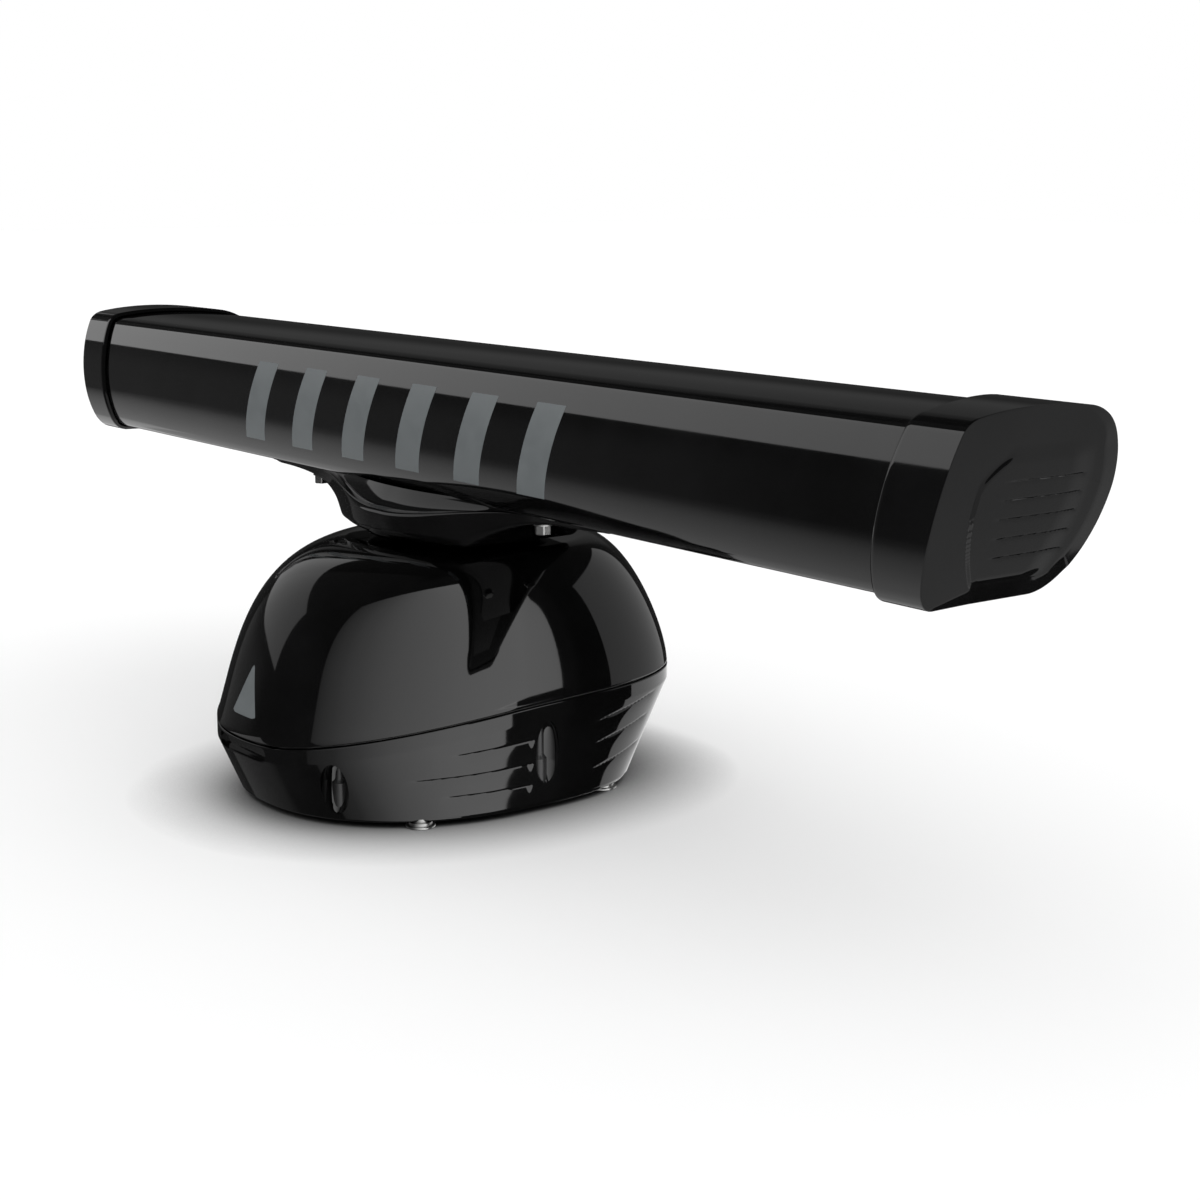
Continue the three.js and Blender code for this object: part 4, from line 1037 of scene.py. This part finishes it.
class Sky:
    """The studio's surroundings as a sum of soft-edged patches of azimuth and elevation."""

    def __init__(self):
        self.world = bpy.data.worlds.new("studio_world")
        self.world.use_nodes = True
        self.tree = self.world.node_tree
        ray = self.tree.nodes.new("ShaderNodeTexCoord").outputs["Generated"]
        split = self.tree.nodes.new("ShaderNodeSeparateXYZ")
        self.tree.links.new(ray, split.inputs["Vector"])
        self.azimuth = self.math("ARCTAN2", split.outputs["Y"], split.outputs["X"])
        self.elevation = self.math("ARCSINE", split.outputs["Z"], 0.0)

    def math(self, operation, *values):
        node = self.tree.nodes.new("ShaderNodeMath")
        node.operation = operation
        for socket, value in zip(node.inputs, values):
            if isinstance(value, (int, float)):
                socket.default_value = value
            else:
                self.tree.links.new(value, socket)
        return node.outputs["Value"]

    def rise(self, value, low, high):
        node = self.tree.nodes.new("ShaderNodeMapRange")
        node.interpolation_type = "SMOOTHSTEP"
        node.inputs["From Min"].default_value = radians(low)
        node.inputs["From Max"].default_value = radians(high)
        self.tree.links.new(value, node.inputs["Value"])
        return node.outputs["Result"]

    def band(self, value, low, high, edge):
        return self.math("MULTIPLY", self.rise(value, low, low + edge), self.rise(value, high, high - edge))

    def patch(self, total, level, azimuths, elevations, edges):
        across = self.band(self.azimuth, *azimuths, edges[0])
        upright = self.band(self.elevation, *elevations, edges[1])
        share = self.math("MULTIPLY", across, upright)
        return self.math("ADD", total, self.math("MULTIPLY", share, level))


def surroundings():
    """White to the camera, an even light to matt surfaces, a dark studio to gloss."""
    sky = Sky()
    seen = STUDIO_DARK
    seen = sky.patch(seen, 0.028, (-181, 45), (-91, 91), (4, 8))
    seen = sky.patch(seen, 0.06, (-200, -132), (-70, 14), (14, 12))
    seen = sky.patch(seen, 0.05, (120, 176), (5, 40), (10, 6))
    path = sky.tree.nodes.new("ShaderNodeLightPath")
    diffuse, camera_ray = path.outputs["Is Diffuse Ray"], path.outputs["Is Camera Ray"]
    seen = sky.math("MULTIPLY", seen, sky.math("SUBTRACT", 1.0, diffuse))
    seen = sky.math("ADD", seen, sky.math("MULTIPLY", diffuse, FLOOR_LIGHT))
    seen = sky.math("MULTIPLY", seen, sky.math("SUBTRACT", 1.0, camera_ray))
    seen = sky.math("ADD", seen, camera_ray)
    sky.tree.links.new(seen, sky.tree.nodes["Background"].inputs["Strength"])
    sky.tree.nodes["Background"].inputs["Color"].default_value = (1, 1, 1, 1)
    bpy.context.scene.world = sky.world


def painted_contact_shadow(nodes):
    """The floor's pale colour, darkened by ambient occlusion right beside whatever stands on it: a painted contact
    shadow.
    """
    # Painted shadow: the floor's colour is darkened wherever ambient occlusion finds something close by.
    near = nodes.add("ShaderNodeAmbientOcclusion", Distance=CONTACT_REACH, samples=8)
    painted_shadow_factor = nodes.add("ShaderNodeMath", operation="POWER")
    painted_shadow_factor.inputs[1].default_value = CONTACT_POWER
    nodes.link(near.outputs["AO"], painted_shadow_factor.inputs[0])
    pale = nodes.add("ShaderNodeMath", operation="MULTIPLY")
    pale.inputs[1].default_value = FLOOR_WHITE
    nodes.link(painted_shadow_factor.outputs[0], pale.inputs[0])
    return pale.outputs[0]


def round_panel(name, middle, azimuths, elevations, radiance, receivers, shades=None, away=4.0):
    """A panel that covers a span of azimuths and elevations, in degrees, as seen from the middle."""
    half = radians(azimuths[1] - azimuths[0]) / 2
    low, high = (away * np.tan(radians(e)) for e in elevations)
    centre = compass(middle, sum(azimuths) / 2, away, middle[2] + (low + high) / 2)
    level = (middle[0], middle[1], centre.z)
    size = (2 * away * np.tan(half), high - low)
    panel_light(name, centre, level, size, radiance, receivers, shades)


def white_floor():
    reach = 20.0
    corners = [(-reach, -reach, 0), (reach, -reach, 0), (reach, reach, 0), (-reach, reach, 0)]
    mesh = bpy.data.meshes.new("studio_floor")
    mesh.from_pydata(corners, [], [(0, 1, 2, 3)])
    floor = bpy.data.objects.new("studio_floor", mesh)
    nodes = Nodes("floor_white")
    nodes.set(Roughness=1.0, Specular_IOR_Level=0.0)
    # The floor's colour carries a painted contact shadow.
    nodes.link(painted_contact_shadow(nodes), nodes.shader.inputs["Base Color"])
    mesh.materials.append(nodes.material)
    bpy.context.scene.collection.objects.link(floor)
    floor.visible_glossy = False
    floor.visible_shadow = False


PEDESTAL_SHADES = [
    (0.0, 0.12), (0.2, 0.27), (0.32, 0.43), (0.45, 0.68), (0.6, 0.92), (0.7, 1.0), (0.86, 1.0), (1.0, 0.85),
]
LOW_SHADES = [(0.0, 0.06), (0.24, 0.15), (0.37, 0.35), (0.49, 0.66), (0.64, 0.93), (0.74, 1.0), (1.0, 1.0)]
STRIP_SHADES = [(0.0, 0.0), (0.2, 0.12), (0.45, 0.6), (0.7, 0.95), (1.0, 1.0)]


def studio():
    """The floor, the surroundings, and panels that each light the pedestal, the bar or the bracket."""
    white_floor()
    surroundings()
    bracket = [piece for piece in RIDERS["antenna"] if piece.name.startswith(("bracket_", "hex_bolt"))]
    bar = [piece for piece in RIDERS["antenna"] if piece not in bracket]
    pedestal = RIDERS["pedestal"] + [frame["nodes"]["cover_gasket"]]
    main = 2.1
    # Name, azimuths, elevations, radiance, what it lights, and shades, as seen from the pedestal's middle.
    for name, azimuths, elevations, radiance, receivers, shades in (
        ("pedestal_panel", (-90, 38), (-4, 74), main, pedestal, PEDESTAL_SHADES),
        ("bracket_panel", (-90, 38), (-4, 32), main, bracket, PEDESTAL_SHADES),
        ("bracket_high_panel", (-90, 38), (32, 74), 0.7, bracket, PEDESTAL_SHADES),
        ("pedestal_low_panel", (-87, 27), (-62, -4), main, pedestal + bracket, LOW_SHADES),
        ("pedestal_left_panel", (-198, -128), (13, 42), 0.6, pedestal, None),
        ("pedestal_rear_panel", (56, 114), (-12, 31), 0.48, pedestal, None),
        ("pedestal_corner_panel", (70, 138), (-40, -13), 1.0, pedestal, None),
    ):
        round_panel(name, (0.12, 0.0, 0.14), azimuths, elevations, radiance, receivers, shades)
    round_panel("bar_end_panel", (BAR_END, 0.0, 0.33), (-64, 78), (-70, 14), 0.36, bar, away=3.0)
    # Long panels parallel to the bar, in front of it and behind it; the front one's lower edge sets the band.
    front, size = -3.0, (9.6, 5.0)
    middle = BAR_BOTTOM + 0.09 - 0.413 * front + size[1] / 2
    for name, radiance, receivers in (("bar_panel", 1.32, bar), ("bracket_front_panel", 0.7, bracket)):
        panel_light(name, (-6.8, front, middle), (-6.8, 0, middle), size, radiance, receivers)
    panel_light("bar_far_end_panel", (-5.4, 0, 0.1), (0, 0, 0.1), (2.3, 4.2), 0.36, bar)
    panel_light("bar_rear_panel", (1.5, 3.0, 2.1), (1.5, 0, 2.1), (4.6, 2.6), 1.0, bar)
    place = (-0.9, -0.55, -0.01)
    strip = panel_light("bar_low_panel", place, (*place[:2], 1.0), (1.5, 4.2), 0.64, bar, STRIP_SHADES)
    strip.rotation_euler = (pi, 0, radians(90))
    bpy.context.scene.view_settings.view_transform = "Standard"


def camera():
    data = bpy.data.cameras.new("camera")
    data.lens = 62.227
    data.sensor_width = 36.0
    data.clip_end = 60.0
    item = bpy.data.objects.new("camera", data)
    item.location = (1.6072, -1.0146, 0.5506)
    item.rotation_euler = (radians(78.52), 0, radians(53.2884))
    bpy.context.scene.collection.objects.link(item)
    bpy.context.scene.camera = item


camera()
build()
studio()
